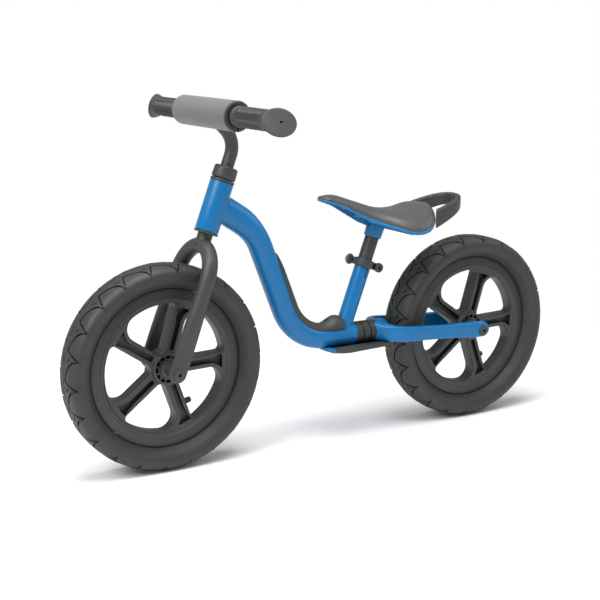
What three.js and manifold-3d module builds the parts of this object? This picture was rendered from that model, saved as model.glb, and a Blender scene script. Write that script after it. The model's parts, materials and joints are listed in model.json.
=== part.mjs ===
// Balance bike: a two-wheeled toddler's running bike with no pedals.
// Millimetres. +X is forward, +Y is the rider's left, +Z is up.
// The origin is on the ground, midway between the two axles.
import * as THREE from 'three';
import { mergeVertices } from 'three/addons/utils/BufferGeometryUtils.js';
import Module from 'manifold-3d';

const wasm = await Module();
wasm.setup();

// ---------------------------------------------------------------- driving dimensions
const DEG = Math.PI / 180;
const GAP = 0.3;                      // clearance between touching pieces
const WHEELBASE = 556;
const TYRE_R = 152.5;
const TYRE_SIDES = 40;
const AXLE_Z = TYRE_R * Math.cos(Math.PI / TYRE_SIDES);   // a flat of the tread rests on the ground
const HEAD_LEAN = 20 * DEG;           // steering axis leans back, through the front axle
const SEAT_LEAN = 20 * DEG;
const SEAT_FOOT = [-57, 240];         // x, z of a point on the seat tube's axis
const ROUND = 16;                     // sides of a tube

const TYRE_HALF = 30;                 // half width of the tyre
const BEAD_R = 117.4;                 // where the tyre meets the rim
const BEAD_HALF = 12.3;
const RIM_IN_R = 95;
const RIM_HALF = 15;
const HUB_R = 24;
const HUB_HALF = 17;
const SPOKES = 5;
const SPOKE_START = 34 * DEG;         // angle of the first spoke, from forward towards up
const SPOKE_HALF = 12;                // half thickness of a spoke, along the axle
const BEARING_R = 11;
const VALVE_R = 3.6;
const VALVE_Y = -7;
const AXLE_R = 5;
const BOLT_SHANK_R = 3.1;
const BOLT_HEAD_R = 9.5;
const HEX_R = 3.2;                    // hexagon sockets, over the corners

const MAIN_R = 18;
const MAIN_WALL = 1.8;
const MAIN_Z = 164;                   // height of the main tube's level part
const MAIN_CORNERS = [[193.8, 383.7], [128.8, 343.1], [55.7, MAIN_Z], [-50, MAIN_Z]];
const MAIN_BENDS = [96, 80];
const HEAD_R = 17.5;
const HEAD_BORE_R = 14.6;
const HEAD_LOW = 206;                 // along the steering axis, from the front axle
const HEAD_HIGH = 280;
const STEERER_R = 11.1;
const STEERER_BORE_R = 9.9;
const STEERER_TOP = 301;
const STEM_R = 9.6;
const BAR_R = 9.8;
const BAR_X = 51.8;                   // bar centre, forward of the steering axis
const BAR_S = 366.8;                  // bar centre, along the steering axis
const BAR_END = 176;

const FORK_HALF = 47;                 // fork leg centre line
const FORK_R = 11.5;
const FORK_BEND_S = 137;              // height of the crown bend's centre along the steering axis
const FORK_TIP_R = 13;
const FORK_TIP_HALF = 4.8;

const SEAT_TUBE_R = 12.7;
const SEAT_BORE_R = 11.5;
const POST_R = 11.1;

const STAY_OUT = 50;                  // outer face of the rear stays
const STAY_THICK = 13;
const TAIL_R = 14.5;
const RING_FIRST_X = -50.6;
const RING_PITCH = 13.4;
const RING_WIDTH = 12;
const YOKE_FRONT_X = -90.4;
const YOKE_REAR_X = -114;
const FOOT_LOW_Z = 144;
const FOOT_TOP_Z = 150;

// ---------------------------------------------------------------- colours
const BLUE = { color: 0x2680c4, roughness: 0.35, metalness: 0.1 };
const BLACK_PAINT = { color: 0x4d504e, roughness: 0.5, metalness: 0.1 };
const BLACK_PLASTIC = { color: 0x4b4d4b, roughness: 0.6, metalness: 0 };
const RUBBER = { color: 0x50524f, roughness: 0.8, metalness: 0 };
const CUSHION = { color: 0x66686a, roughness: 0.6, metalness: 0 };
const FOAM = { color: 0x969694, roughness: 0.75, metalness: 0 };
const STEEL = { color: 0xb8babc, roughness: 0.35, metalness: 0.9 };

// ---------------------------------------------------------------- helpers
function bodyOf(geometry) {
  const bare = geometry.clone();
  bare.deleteAttribute('normal');
  bare.deleteAttribute('uv');
  const merged = mergeVertices(bare, 1e-3);
  const corners = merged.index.array;
  const kept = [];
  for (let i = 0; i < corners.length; i += 3) {
    const [a, b, c] = [corners[i], corners[i + 1], corners[i + 2]];
    if (a !== b && b !== c && c !== a) kept.push(a, b, c);
  }
  merged.setIndex(kept);
  return merged;
}

function volumeOf(geometry) {
  const p = geometry.attributes.position;
  const [a, b, c] = [new THREE.Vector3(), new THREE.Vector3(), new THREE.Vector3()];
  let sum = 0;
  for (let i = 0; i < geometry.index.count; i += 3) {
    a.fromBufferAttribute(p, geometry.index.getX(i));
    b.fromBufferAttribute(p, geometry.index.getX(i + 1));
    c.fromBufferAttribute(p, geometry.index.getX(i + 2));
    sum += a.dot(b.cross(c)) / 6;
  }
  return sum;
}

function facingOut(geometry) {
  const body = bodyOf(geometry);
  if (volumeOf(body) > 0) return body;
  const flipped = Array.from(body.index.array);
  for (let i = 0; i < flipped.length; i += 3) {
    [flipped[i], flipped[i + 1]] = [flipped[i + 1], flipped[i]];
  }
  body.setIndex(flipped);
  return body;
}

function solid(geometry) {
  const body = facingOut(geometry);
  return new wasm.Manifold(new wasm.Mesh({
    numProp: 3,
    vertProperties: Float32Array.from(body.attributes.position.array),
    triVerts: Uint32Array.from(body.index.array),
  }));
}

function geometryOf(manifold) {
  const mesh = manifold.getMesh();
  const geometry = new THREE.BufferGeometry();
  geometry.setAttribute('position', new THREE.BufferAttribute(Float32Array.from(mesh.vertProperties), 3));
  geometry.setIndex(Array.from(mesh.triVerts));
  return geometry;
}

function cut(base, ...tools) {
  let result = solid(base);
  for (const tool of tools) result = result.subtract(solid(tool));
  return geometryOf(result);
}

// The biggest separate piece of what a cut leaves.
function largest(geometry) {
  const parts = solid(geometry).decompose();
  return geometryOf(parts.sort((a, b) => b.volume() - a.volume())[0]);
}

function join(...pieces) {
  return geometryOf(pieces.map(solid).reduce((a, b) => a.add(b)));
}

// Turned about Y from (radius, y) points, the profile closing on itself.
function turned(profile, sides = ROUND, start = 0) {
  const points = [...profile, profile[0]].map(([r, y]) => new THREE.Vector2(r, y));
  return facingOut(new THREE.LatheGeometry(points, sides, start));
}

function ringY(inner, outer, y0, y1, sides = ROUND) {
  return turned([[inner, y0], [outer, y0], [outer, y1], [inner, y1]], sides);
}

function rodY(radius, y0, y1, sides = ROUND) {
  return new THREE.CylinderGeometry(radius, radius, y1 - y0, sides).translate(0, (y0 + y1) / 2, 0);
}

// Radius of a faceted bore that clears a shaft all round.
const clear = (radius) => (radius + GAP) / Math.cos(Math.PI / ROUND);

const alongZ = (geometry) => geometry.rotateX(Math.PI / 2);
const alongX = (geometry) => geometry.rotateZ(-Math.PI / 2);

function box(x0, x1, y0, y1, z0, z1) {
  return new THREE.BoxGeometry(x1 - x0, y1 - y0, z1 - z0)
    .translate((x0 + x1) / 2, (y0 + y1) / 2, (z0 + z1) / 2);
}

function circle(radius, sides = ROUND) {
  const points = [];
  for (let i = 0; i < sides; i++) {
    const a = (i + 0.5) * 2 * Math.PI / sides;
    points.push(new THREE.Vector2(radius * Math.cos(a), radius * Math.sin(a)));
  }
  return points;
}

// Straight runs joined by round bends, with a station at each run's end and along each bend.
class BentLine extends THREE.Curve {
  constructor(corners, bends, bendStep = 13 * DEG) {
    super();
    const points = corners.map(([x, z]) => new THREE.Vector3(x, 0, z));
    const last = points.length - 1;
    const direction = (i) => points[i + 1].clone().sub(points[i]).normalize();
    this.stations = [{ at: points[0], along: direction(0) }];
    for (let i = 1; i < last; i++) {
      this.addBend(points[i], direction(i - 1), direction(i), bends[i - 1], bendStep);
    }
    this.stations.push({ at: points[last], along: direction(last - 1) });
  }

  addBend(corner, before, after, radius, bendStep) {
    const turn = before.angleTo(after);
    const inward = after.clone().sub(before).normalize();
    const centre = corner.clone().addScaledVector(inward, radius / Math.cos(turn / 2));
    const axis = before.clone().cross(after).normalize();
    const first = corner.clone().addScaledVector(before, -radius * Math.tan(turn / 2)).sub(centre);
    const steps = Math.ceil(turn / bendStep);
    for (let i = 0; i <= steps; i++) {
      const angle = turn * i / steps;
      this.stations.push({
        at: first.clone().applyAxisAngle(axis, angle).add(centre),
        along: before.clone().applyAxisAngle(axis, angle),
      });
    }
  }

  get steps() { return this.stations.length - 1; }
  station(u) { return this.stations[Math.round(u * this.steps)]; }
  getPointAt(u, target = new THREE.Vector3()) { return target.copy(this.station(u).at); }
  getTangentAt(u, target = new THREE.Vector3()) { return target.copy(this.station(u).along); }
}

function sweep(line, radius, boreRadius = 0, sides = ROUND) {
  const section = new THREE.Shape(circle(radius, sides));
  if (boreRadius) section.holes.push(new THREE.Path(circle(boreRadius, sides)));
  return facingOut(new THREE.ExtrudeGeometry(section, { steps: line.steps, extrudePath: line }));
}

// A side outline of (x, z) points made thick along Y, from y0 to y1, with rounded edges.
function slabXZ(outline, y0, y1, bevel = 0) {
  const shape = new THREE.Shape(outline.map(([x, z]) => new THREE.Vector2(x, z)));
  const geometry = new THREE.ExtrudeGeometry(shape, {
    depth: y1 - y0 - 2 * bevel, bevelEnabled: bevel > 0, bevelThickness: bevel,
    bevelSize: bevel, bevelOffset: -bevel, bevelSegments: 1,
  });
  return facingOut(geometry.translate(0, 0, y0 + bevel).applyMatrix4(SWAP_YZ));
}
const SWAP_YZ = new THREE.Matrix4().set(1, 0, 0, 0, 0, 0, 1, 0, 0, 1, 0, 0, 0, 0, 0, 1);

// A plan outline of (x, y) points made thick along Z.
function slabXY(outline, z0, z1, bevel = 0) {
  const shape = new THREE.Shape(outline.map(([x, y]) => new THREE.Vector2(x, y)));
  const geometry = new THREE.ExtrudeGeometry(shape, {
    depth: z1 - z0 - 2 * bevel, bevelEnabled: bevel > 0, bevelThickness: bevel,
    bevelSize: bevel, bevelOffset: -bevel, bevelSegments: 1,
  });
  return facingOut(geometry.translate(0, 0, z0 + bevel));
}

const mirrored = (half) => [...half, ...half.slice().reverse().map(([x, y]) => [x, -y])];

// Smooth value at x through a short list of (x, value) points.
function through(points, x) {
  let i = 0;
  while (i < points.length - 2 && x > points[i + 1][0]) i++;
  const slope = (k) => {
    const [lo, hi] = [Math.max(k - 1, 0), Math.min(k + 1, points.length - 1)];
    return (points[hi][1] - points[lo][1]) / (points[hi][0] - points[lo][0]);
  };
  const span = points[i + 1][0] - points[i][0];
  const t = (x - points[i][0]) / span;
  const [t2, t3] = [t * t, t * t * t];
  return (2 * t3 - 3 * t2 + 1) * points[i][1] + (t3 - 2 * t2 + t) * span * slope(i)
    + (3 * t2 - 2 * t3) * points[i + 1][1] + (t3 - t2) * span * slope(i + 1);
}

function moved(geometry, place) {
  const p = geometry.attributes.position;
  const v = new THREE.Vector3();
  for (let i = 0; i < p.count; i++) {
    v.fromBufferAttribute(p, i);
    place(v);
    p.setXYZ(i, v.x, v.y, v.z);
  }
  return facingOut(geometry);
}

function add(parent, name, geometry, finish) {
  const mesh = new THREE.Mesh(geometry, new THREE.MeshStandardMaterial(finish));
  mesh.name = name;
  parent.add(mesh);
}

// ---------------------------------------------------------------- frames of reference
const group = new THREE.Group();

const steering = new THREE.Group();            // +Z runs up the steering axis from the front axle
steering.position.set(WHEELBASE / 2, 0, AXLE_Z);
steering.rotation.y = -HEAD_LEAN;
group.add(steering);

const seating = new THREE.Group();             // +Z runs up the seat tube
seating.position.set(SEAT_FOOT[0], 0, SEAT_FOOT[1]);
seating.rotation.y = -SEAT_LEAN;
group.add(seating);

for (const frame of [steering, seating]) frame.updateMatrixWorld(true);
const inRow = (geometry, frame) => geometry.clone().applyMatrix4(frame.matrixWorld);

// ---------------------------------------------------------------- frame tubes
const mainLine = new BentLine(MAIN_CORNERS, MAIN_BENDS);
const headKeepOut = inRow(alongZ(rodY(clear(HEAD_R), HEAD_LOW - 20, HEAD_HIGH + 20)), steering);

function mainTube() {
  return largest(cut(sweep(mainLine, MAIN_R, MAIN_R - MAIN_WALL), headKeepOut));
}

function headTube() {
  return alongZ(ringY(HEAD_BORE_R, HEAD_R, HEAD_LOW, HEAD_HIGH));
}

function headsetCup(flangeLow, flangeHigh, sleeveLow, sleeveHigh) {
  const flange = ringY(STEERER_R + 0.6, HEAD_R + 0.5, flangeLow, flangeHigh);
  const sleeve = ringY(13.5, HEAD_BORE_R - GAP, sleeveLow, sleeveHigh);
  return alongZ(join(flange, sleeve));
}

function headsetBearing(low) {
  return alongZ(ringY(STEERER_R + GAP, 13.2, low, low + 6));
}

function seatTube() {
  const tube = alongZ(ringY(SEAT_BORE_R, SEAT_TUBE_R, -90, 44, ROUND));
  const slot = box(-20, 0, -1, 1, 14, 60);
  slot.rotateZ(-85 * DEG);
  const inSeatFrame = sweep(mainLine, clear(MAIN_R)).applyMatrix4(seating.matrixWorld.clone().invert());
  return largest(cut(tube, slot, inSeatFrame));
}

function bandRing(index) {
  const low = RING_FIRST_X - index * RING_PITCH;
  const high = low - RING_WIDTH;
  const [inner, outer, edge] = [clear(TAIL_R), MAIN_R - 0.5, MAIN_R - 1.8];
  const profile = [
    [inner, high], [edge, high], [outer, high + 2],
    [outer, low - 2], [edge, low], [inner, low],
  ];
  return alongX(turned(profile)).translate(0, 0, MAIN_Z);
}

function tailTube() {
  return alongX(ringY(TAIL_R - 2, TAIL_R, -104, -16)).translate(0, 0, MAIN_Z);
}

// ---------------------------------------------------------------- rear end
const YOKE_HALF_PLAN = [[YOKE_FRONT_X, 17], [-94, 25.5], [-100, 40], [-106, 47], [YOKE_REAR_X, STAY_OUT],
  [YOKE_REAR_X, STAY_OUT - STAY_THICK], [-111.5, 24], [-109, 8]];

function rearYoke() {
  const arms = slabXY(mirrored(YOKE_HALF_PLAN), 150.4, 175.4, 3);
  const socket = alongX(rodY(clear(TAIL_R), -104.5, -80)).translate(0, 0, MAIN_Z);
  return cut(arms, socket);
}

function stay(side) {
  const [tipX, tipZ, tipR] = [-WHEELBASE / 2, 154, 13];
  const outline = [[YOKE_REAR_X - GAP, 175], [-190, 170.5], [tipX + 6, tipZ + tipR]];
  for (let i = 0; i <= 6; i++) {
    const a = (90 - 30 * i) * DEG;
    outline.push([tipX - tipR * Math.cos(a) * 0.98, tipZ + tipR * Math.sin(a)]);
  }
  outline.push([tipX + 6, tipZ - tipR], [-190, 146.5], [YOKE_REAR_X - GAP, 149.5]);
  const bar = slabXZ(outline, STAY_OUT - STAY_THICK, STAY_OUT, 3);
  const hole = rodY(BOLT_SHANK_R + GAP, 20, 70).translate(tipX, 0, AXLE_Z);
  return facingOut(cut(bar, hole).scale(1, side, 1));
}

// ---------------------------------------------------------------- pads and footrest
const PAD_OUTLINE = [
  [91, 312], [70, 266], [50, 216], [45, 204.5], [39, 197.5], [30, 192.5], [20, 190.5],
  [10, 191], [0, 194], [-10, 198.5], [-17, 199.5], [-26, 195], [-31, 186],
  [-31, 168], [20, 168], [62, 184], [96, 280],
];

function framePad() {
  const post = inRow(alongZ(rodY(clear(SEAT_TUBE_R), -140, 40)), seating);
  const blank = slabXZ(PAD_OUTLINE, -15, 15, 3);
  return largest(cut(blank, sweep(mainLine, clear(MAIN_R)), post));
}

function footrestBase() {
  const half = [[6, 10], [3, 30], [0.5, 33], [0.5, 18], [-112, 18]];
  const plate = slabXY(mirrored(half), FOOT_LOW_Z, FOOT_TOP_Z);
  const tube = alongX(rodY(clear(MAIN_R), -130, 20)).translate(0, 0, MAIN_Z);
  return cut(plate, tube);
}

function footrestPad(side) {
  const plan = [[0, 18.5], [0, 34], [-8, 39.5], [-21, 42.4], [-94, 34], [-108, 28], [-112, 18.5]];
  return facingOut(slabXY(plan, FOOT_LOW_Z, FOOT_TOP_Z, 1.5).scale(1, side, 1));
}

// ---------------------------------------------------------------- seat clamp
const CLAMP_LOW = 31;
const CLAMP_HIGH = 43;
const CLAMP_MIDDLE = (CLAMP_LOW + CLAMP_HIGH) / 2;
const CLAMP_BOLT_X = -21.4;
const CLAMP_R = 16.4;
const EAR_R = 6;                      // rounded ears that the skewer draws together
const EAR_HALF = 9;
const SLIT_HALF = 1.2;
const SKEWER_R = 2.5;
const LEVER_PIVOT_Y = -18.5;
const LEVER_HALF = 5.5;
const LEVER_PLAN = [
  [-27, -13], [-20, -9.6], [-13, -13], [-8, -20], [4, -24],
  [16, -23], [17, -28], [4, -30.5], [-14, -28], [-25, -21],
];

function seatClamp() {
  const collar = alongZ(rodY(CLAMP_R, CLAMP_LOW, CLAMP_HIGH));
  const ears = rodY(EAR_R, -EAR_HALF, EAR_HALF).translate(CLAMP_BOLT_X, 0, CLAMP_MIDDLE);
  const web = box(CLAMP_BOLT_X, -8, -EAR_HALF, EAR_HALF, CLAMP_LOW, CLAMP_HIGH);
  const bore = alongZ(rodY(clear(SEAT_TUBE_R), CLAMP_LOW - 5, CLAMP_HIGH + 5));
  const slit = box(-40, -5, -SLIT_HALF, SLIT_HALF, CLAMP_LOW - 5, CLAMP_HIGH + 5);
  const hole = rodY(SKEWER_R + GAP, -20, 20).translate(CLAMP_BOLT_X, 0, CLAMP_MIDDLE);
  return cut(join(collar, ears, web), bore, slit, hole);
}

function clampSkewer() {
  return rodY(SKEWER_R, -13, 12.5, 12).translate(CLAMP_BOLT_X, 0, CLAMP_MIDDLE);
}

function barrelNut() {
  const nut = rodY(7.5, EAR_HALF + GAP, 15.5);
  const thread = rodY(SKEWER_R + GAP, 0, 12.8);
  const socket = rodY(HEX_R, 13.2, 20, 6);
  return cut(nut, thread, socket).translate(CLAMP_BOLT_X, 0, CLAMP_MIDDLE);
}

// The lever's head is slotted round its pivot, so that it swings past the skewer's end.
function clampLever() {
  const arm = slabXY(LEVER_PLAN, CLAMP_MIDDLE - LEVER_HALF, CLAMP_MIDDLE + LEVER_HALF, 1);
  const paddle = new THREE.SphereGeometry(8.6, 12, 8).scale(0.95, 0.42, 1);
  const slot = alongZ(rodY(9.8, -SKEWER_R - GAP, SKEWER_R + GAP))
    .translate(CLAMP_BOLT_X, LEVER_PIVOT_Y, CLAMP_MIDDLE);
  return cut(join(arm, paddle.translate(9.5, -26.5, CLAMP_MIDDLE)), slot);
}

// ---------------------------------------------------------------- seat
const POST_LOW = -32;
const POST_HIGH = 102;
const SOCKET_LOW = 80;
const SADDLE_REAR = -188;
const SADDLE_NOSE = 16;
const SADDLE_TOP = [
  [-188, 364], [-165, 366], [-140, 359.5], [-110, 359], [-80, 364], [-40, 376.5], [-8, 386], [16, 384],
];
const SADDLE_EDGE = [
  [-188, 349], [-170, 340], [-150, 330], [-120, 327], [-100, 333], [-60, 347], [-20, 368], [16, 381],
];
const SADDLE_HALF = [
  [-188, 14], [-180, 36], [-168, 52], [-150, 65], [-130, 70], [-110, 65],
  [-80, 43], [-50, 26], [-20, 19], [4, 17], [12, 13], [16, 7],
];

function saddleLayer(topDrop, topEdge, lowDrop, lowEdge, inset) {
  const blank = new THREE.BoxGeometry(2, 2, 2, 16, 8, 1);
  return moved(blank, (v) => {
    const across = Math.sin(v.y * Math.PI / 2);
    const along = Math.sin(v.x * Math.PI / 2);
    const x = (SADDLE_REAR + SADDLE_NOSE) / 2 + along * ((SADDLE_NOSE - SADDLE_REAR) / 2 - inset);
    const crown = Math.pow(Math.max(0, 1 - Math.pow(Math.abs(across), 2.4)), 0.62);
    const [top, edge] = [through(SADDLE_TOP, x), through(SADDLE_EDGE, x)];
    const [drop, lift] = v.z > 0 ? [topDrop, topEdge] : [lowDrop, lowEdge];
    const height = edge + lift + (top - drop - edge - lift) * crown;
    v.set(x, across * (through(SADDLE_HALF, x) - inset), height);
  });
}

function saddleShell() {
  const shell = saddleLayer(9 + 4 * GAP, -4 * GAP, 13, -4, 0);
  const above = saddleLayer(-80, 80, 9 + 4 * GAP, -4 * GAP, 0);
  const socket = cut(inRow(alongZ(rodY(13.6, SOCKET_LOW, POST_HIGH + 14)), seating), above);
  const bore = inRow(alongZ(rodY(clear(POST_R), SOCKET_LOW - 5, POST_HIGH + GAP)), seating);
  return cut(join(shell, socket), bore);
}

function carryHandle() {
  const [frontX, depth, half, thick] = [-172, 75, 46, 10];
  const [topZ, rise, tallFront, tallRear] = [356, 22, 30, 19];
  const arc = (a, b) => {
    const points = [];
    for (let i = 0; i <= 14; i++) {
      const t = (-90 + 180 * i / 14) * DEG;
      const bend = (v) => Math.sign(v) * Math.pow(Math.abs(v), 0.82);
      points.push([frontX - a * bend(Math.cos(t)), b * bend(Math.sin(t))]);
    }
    return points;
  };
  const outline = [...arc(depth, half), ...arc(depth - thick, half - thick).reverse()];
  const strap = moved(slabXY(outline, -tallFront, 0, 2), (v) => {
    const back = (frontX - v.x) / depth;
    v.z = topZ + rise * back + v.z * THREE.MathUtils.lerp(1, tallRear / tallFront, back);
  });
  const seat = [];
  for (let i = 0; i <= 12; i++) {
    const x = SADDLE_REAR - 0.6 + i * 4;
    seat.push([x, through(SADDLE_HALF, Math.max(x, SADDLE_REAR)) + 0.6]);
  }
  return cut(strap, slabXY(mirrored(seat), 300, 400));
}

// ---------------------------------------------------------------- fork and headset
class CrownArc extends THREE.Curve {
  getPoint(t, target = new THREE.Vector3()) {
    const a = Math.PI * t;
    return target.set(0, FORK_HALF * Math.cos(a), FORK_BEND_S + GAP + FORK_HALF * Math.sin(a));
  }
}

function forkCrown() {
  const section = new THREE.Shape(circle(FORK_R));
  return facingOut(new THREE.ExtrudeGeometry(section, { steps: 12, extrudePath: new CrownArc() }));
}

function forkLeg(side) {
  const length = FORK_BEND_S + FORK_TIP_R - 0.05;
  const blank = alongZ(new THREE.CylinderGeometry(1, 1, 2, ROUND, 9));
  const leg = moved(blank, (v) => {
    const s = FORK_BEND_S - length * Math.sin((1 - v.z) / 2 * Math.PI / 2);
    const t = THREE.MathUtils.smoothstep(FORK_BEND_S - s, 0, FORK_BEND_S - 10);
    const round = s < 0 ? Math.sqrt(Math.max(0, 1 - (s / FORK_TIP_R) ** 2)) : 1;
    const wide = THREE.MathUtils.lerp(FORK_R, FORK_TIP_R, t) * round;
    const deep = THREE.MathUtils.lerp(FORK_R, FORK_TIP_HALF, t) * (0.6 + 0.4 * round);
    v.set(v.x * wide, side * (FORK_HALF + t) + v.y * deep, s);
  });
  const hole = rodY(BOLT_SHANK_R + GAP, side > 0 ? 30 : -70, side > 0 ? 70 : -30);
  return cut(leg, hole);
}

function steerer() {
  return alongZ(ringY(STEERER_BORE_R, STEERER_R, FORK_BEND_S + FORK_HALF + FORK_R + 2 * GAP, STEERER_TOP));
}

const COLLAR_PROFILE = [[10.2, 285], [17.4, 285], [17.8, 288], [17, 301], [15.5, 303], [10.2, 303]];
const COLLAR_BOLT = [-21.5, 0, 293.5];
const COLLAR_TURN = 58 * DEG;         // its ears point back and to the right

function stemClamp() {
  const collar = alongZ(turned(COLLAR_PROFILE));
  const ears = box(-26, -12, -8, 8, 287, 300).rotateZ(COLLAR_TURN);
  const bore = alongZ(rodY(clear(STEERER_R), 280, STEERER_TOP + GAP));
  const slit = box(-40, -5, -1, 1, 280, 310).rotateZ(COLLAR_TURN);
  const hole = rodY(SKEWER_R + GAP, -20, 20).translate(...COLLAR_BOLT).rotateZ(COLLAR_TURN);
  return cut(join(collar, ears), bore, slit, hole, alongZ(rodY(STEM_R + 0.4, 280, 310)));
}

function stemClampBolt() {
  const shank = rodY(SKEWER_R, -8, 9, 12);
  const head = rodY(4.4, 8 + GAP, 12.5, 16);
  const socket = rodY(2.2, 10.5, 20, 6);
  return cut(join(shank, head), socket).translate(...COLLAR_BOLT).rotateZ(COLLAR_TURN);
}

// ---------------------------------------------------------------- handlebar
const QUILL_LOW = 238;                // the stem's lower length slides inside the steerer
const QUILL_HIGH = 300.5;
const stemLine = new BentLine([[0, QUILL_HIGH + GAP], [0, 342.7], [BAR_X, BAR_S]], [35]);
const barAt = (geometry) => geometry.translate(BAR_X, 0, BAR_S);

function handlebarStem() {
  return cut(sweep(stemLine, STEM_R, STEM_R - 1.6), barAt(rodY(clear(BAR_R), -40, 40)));
}

function stemQuill() {
  return alongZ(ringY(STEM_R - 1.6, STEM_R, QUILL_LOW, QUILL_HIGH));
}

function barPad() {
  const [half, outer, edge, bore] = [82, 21.5, 18.5, clear(BAR_R)];
  const foam = turned([
    [bore, -half], [edge, -half], [outer, -half + 3], [outer, half - 3], [edge, half], [bore, half],
  ]);
  const slit = box(-1, 1, -half - 5, half + 5, -40, 0).rotateY(-HEAD_LEAN + 40 * DEG);
  return cut(barAt(foam), sweep(stemLine, STEM_R + 2), barAt(slit));
}

const GRIP_SLANT = 46 * DEG;          // the grip's end is cut off across, facing forward
const GRIP_MIDDLE = 188;

function grip(side) {
  const bore = clear(BAR_R);
  const profile = [
    [bore, 84], [14.6, 84], [15.2, 87], [13.6, 91], [13.2, 160], [14.2, 176], [18, 206], [0, 206],
    [0, BAR_END + GAP], [bore, BAR_END + GAP],
  ];
  const rubber = turned(profile);
  const end = box(-60, 60, 0, 60, -60, 60).rotateZ(-GRIP_SLANT).translate(0, GRIP_MIDDLE, 0);
  const lean = new THREE.Matrix4().makeRotationY(HEAD_LEAN);
  return barAt(facingOut(cut(rubber, end).applyMatrix4(lean).scale(1, side, 1)));
}

// ---------------------------------------------------------------- wheels
function tyre() {
  const half = [
    [BEAD_R, 0], [BEAD_R, BEAD_HALF], [119.5, 15], [126, 25],
    [134, TYRE_HALF - 0.6], [142, TYRE_HALF], [148.5, 26.5], [TYRE_R, 18],
  ];
  const profile = [...half, ...half.slice(1).reverse().map(([r, y]) => [r, -y])];
  return turned(profile, TYRE_SIDES, Math.PI / TYRE_SIDES);
}

function spokeBlank(angle) {
  const half = [[16, 16], [30, 13], [52, 10.5], [76, 10.5], [88, 13.5], [98, 19]];
  return slabXZ(mirrored(half), -SPOKE_HALF, SPOKE_HALF).rotateY(-angle);
}

function spokePocket(angle, side) {
  const half = [[34, 6.5], [52, 5.5], [74, 6], [86, 8.5]];
  const [y0, y1] = side > 0 ? [SPOKE_HALF - 7, SPOKE_HALF + 5] : [-SPOKE_HALF - 5, 7 - SPOKE_HALF];
  return slabXZ(mirrored(half), y0, y1).rotateY(-angle);
}

function rim() {
  const outer = BEAD_R - GAP;
  const band = turned([[RIM_IN_R, -RIM_HALF], [103, -RIM_HALF], [outer, -BEAD_HALF], [outer, BEAD_HALF],
    [103, RIM_HALF], [RIM_IN_R, RIM_HALF]], TYRE_SIDES, Math.PI / TYRE_SIDES);
  const hub = rodY(HUB_R, -HUB_HALF, HUB_HALF);
  const angles = Array.from({ length: SPOKES }, (_, i) => SPOKE_START + i * 2 * Math.PI / SPOKES);
  const web = join(band, hub, ...angles.map(spokeBlank));
  const pockets = angles.flatMap((a) => [spokePocket(a, 1), spokePocket(a, -1)]);
  const seats = [[9, 30], [-30, -9]].map(([y0, y1]) => rodY(BEARING_R + GAP, y0, y1));
  return cut(web, rodY(BEARING_R - 1.5, -30, 30), ...seats, valve(VALVE_R + 1), ...pockets);
}

function bearing(side) {
  return facingOut(ringY(AXLE_R + GAP, BEARING_R, 9 + GAP, HUB_HALF).scale(1, side, 1));
}

function spacer(side, length) {
  return facingOut(ringY(AXLE_R + GAP, 8, HUB_HALF + GAP, HUB_HALF + length).scale(1, side, 1));
}

function axle(half) {
  return ringY(BOLT_SHANK_R + GAP, AXLE_R, -half, half, 12);
}

function axleBolt(side, seat, outside) {
  const head = turned([
    [0, seat], [BOLT_HEAD_R, seat], [BOLT_HEAD_R - 0.5, outside - 1], [7, outside], [0, outside],
  ]);
  const shank = rodY(BOLT_SHANK_R, 24, seat + 0.5, 12);
  const socket = rodY(HEX_R, outside - 1.6, outside + 5, 6);
  return facingOut(cut(join(head, shank), socket).scale(1, side, 1));
}

// The valve rises from the rim beside a spoke, in a relief of it, and bends across to be reached.
const polar = (radius, angle) => [radius * Math.cos(angle), radius * Math.sin(angle)];
const VALVE_CORNERS = [polar(RIM_IN_R - 0.7, 246 * DEG), polar(68, 246 * DEG), polar(73.5, 231 * DEG)];
const valveLine = new BentLine(VALVE_CORNERS, [7], 15 * DEG);

function valve(radius) {
  return sweep(valveLine, radius, 0, 8).translate(0, VALVE_Y, 0);
}

// ---------------------------------------------------------------- assembly
add(steering, 'head_tube', headTube(), BLUE);
add(steering, 'headset_cup_lower', headsetCup(202, 205.7, 205.7, 214), BLACK_PLASTIC);
add(steering, 'headset_cup_upper', headsetCup(280.3, 284, 271, 280.3), BLACK_PLASTIC);
add(steering, 'headset_bearing_lower', headsetBearing(206.5), STEEL);
add(steering, 'headset_bearing_upper', headsetBearing(273.5), STEEL);
add(group, 'main_tube', mainTube(), BLUE);
add(seating, 'seat_tube', seatTube(), BLUE);
add(group, 'tail_tube', tailTube(), BLUE);
['front', 'middle', 'rear'].forEach((place, i) => add(group, `band_ring_${place}`, bandRing(i), RUBBER));
add(group, 'rear_yoke', rearYoke(), BLUE);
add(group, 'frame_pad', framePad(), RUBBER);
add(group, 'footrest_base', footrestBase(), BLUE);
add(seating, 'seat_clamp', seatClamp(), BLACK_PAINT);
add(seating, 'clamp_skewer', clampSkewer(), STEEL);
add(seating, 'clamp_barrel_nut', barrelNut(), BLACK_PAINT);
add(seating, 'clamp_lever', clampLever(), FOAM);

add(seating, 'seat_post', alongZ(ringY(POST_R - 1.6, POST_R, POST_LOW, POST_HIGH, ROUND)), BLACK_PAINT);
add(group, 'saddle_shell', saddleShell(), BLUE);
add(group, 'saddle_cushion', saddleLayer(0, 3, 9, 0, 0), CUSHION);
add(group, 'carry_handle', carryHandle(), BLACK_PLASTIC);

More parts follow.
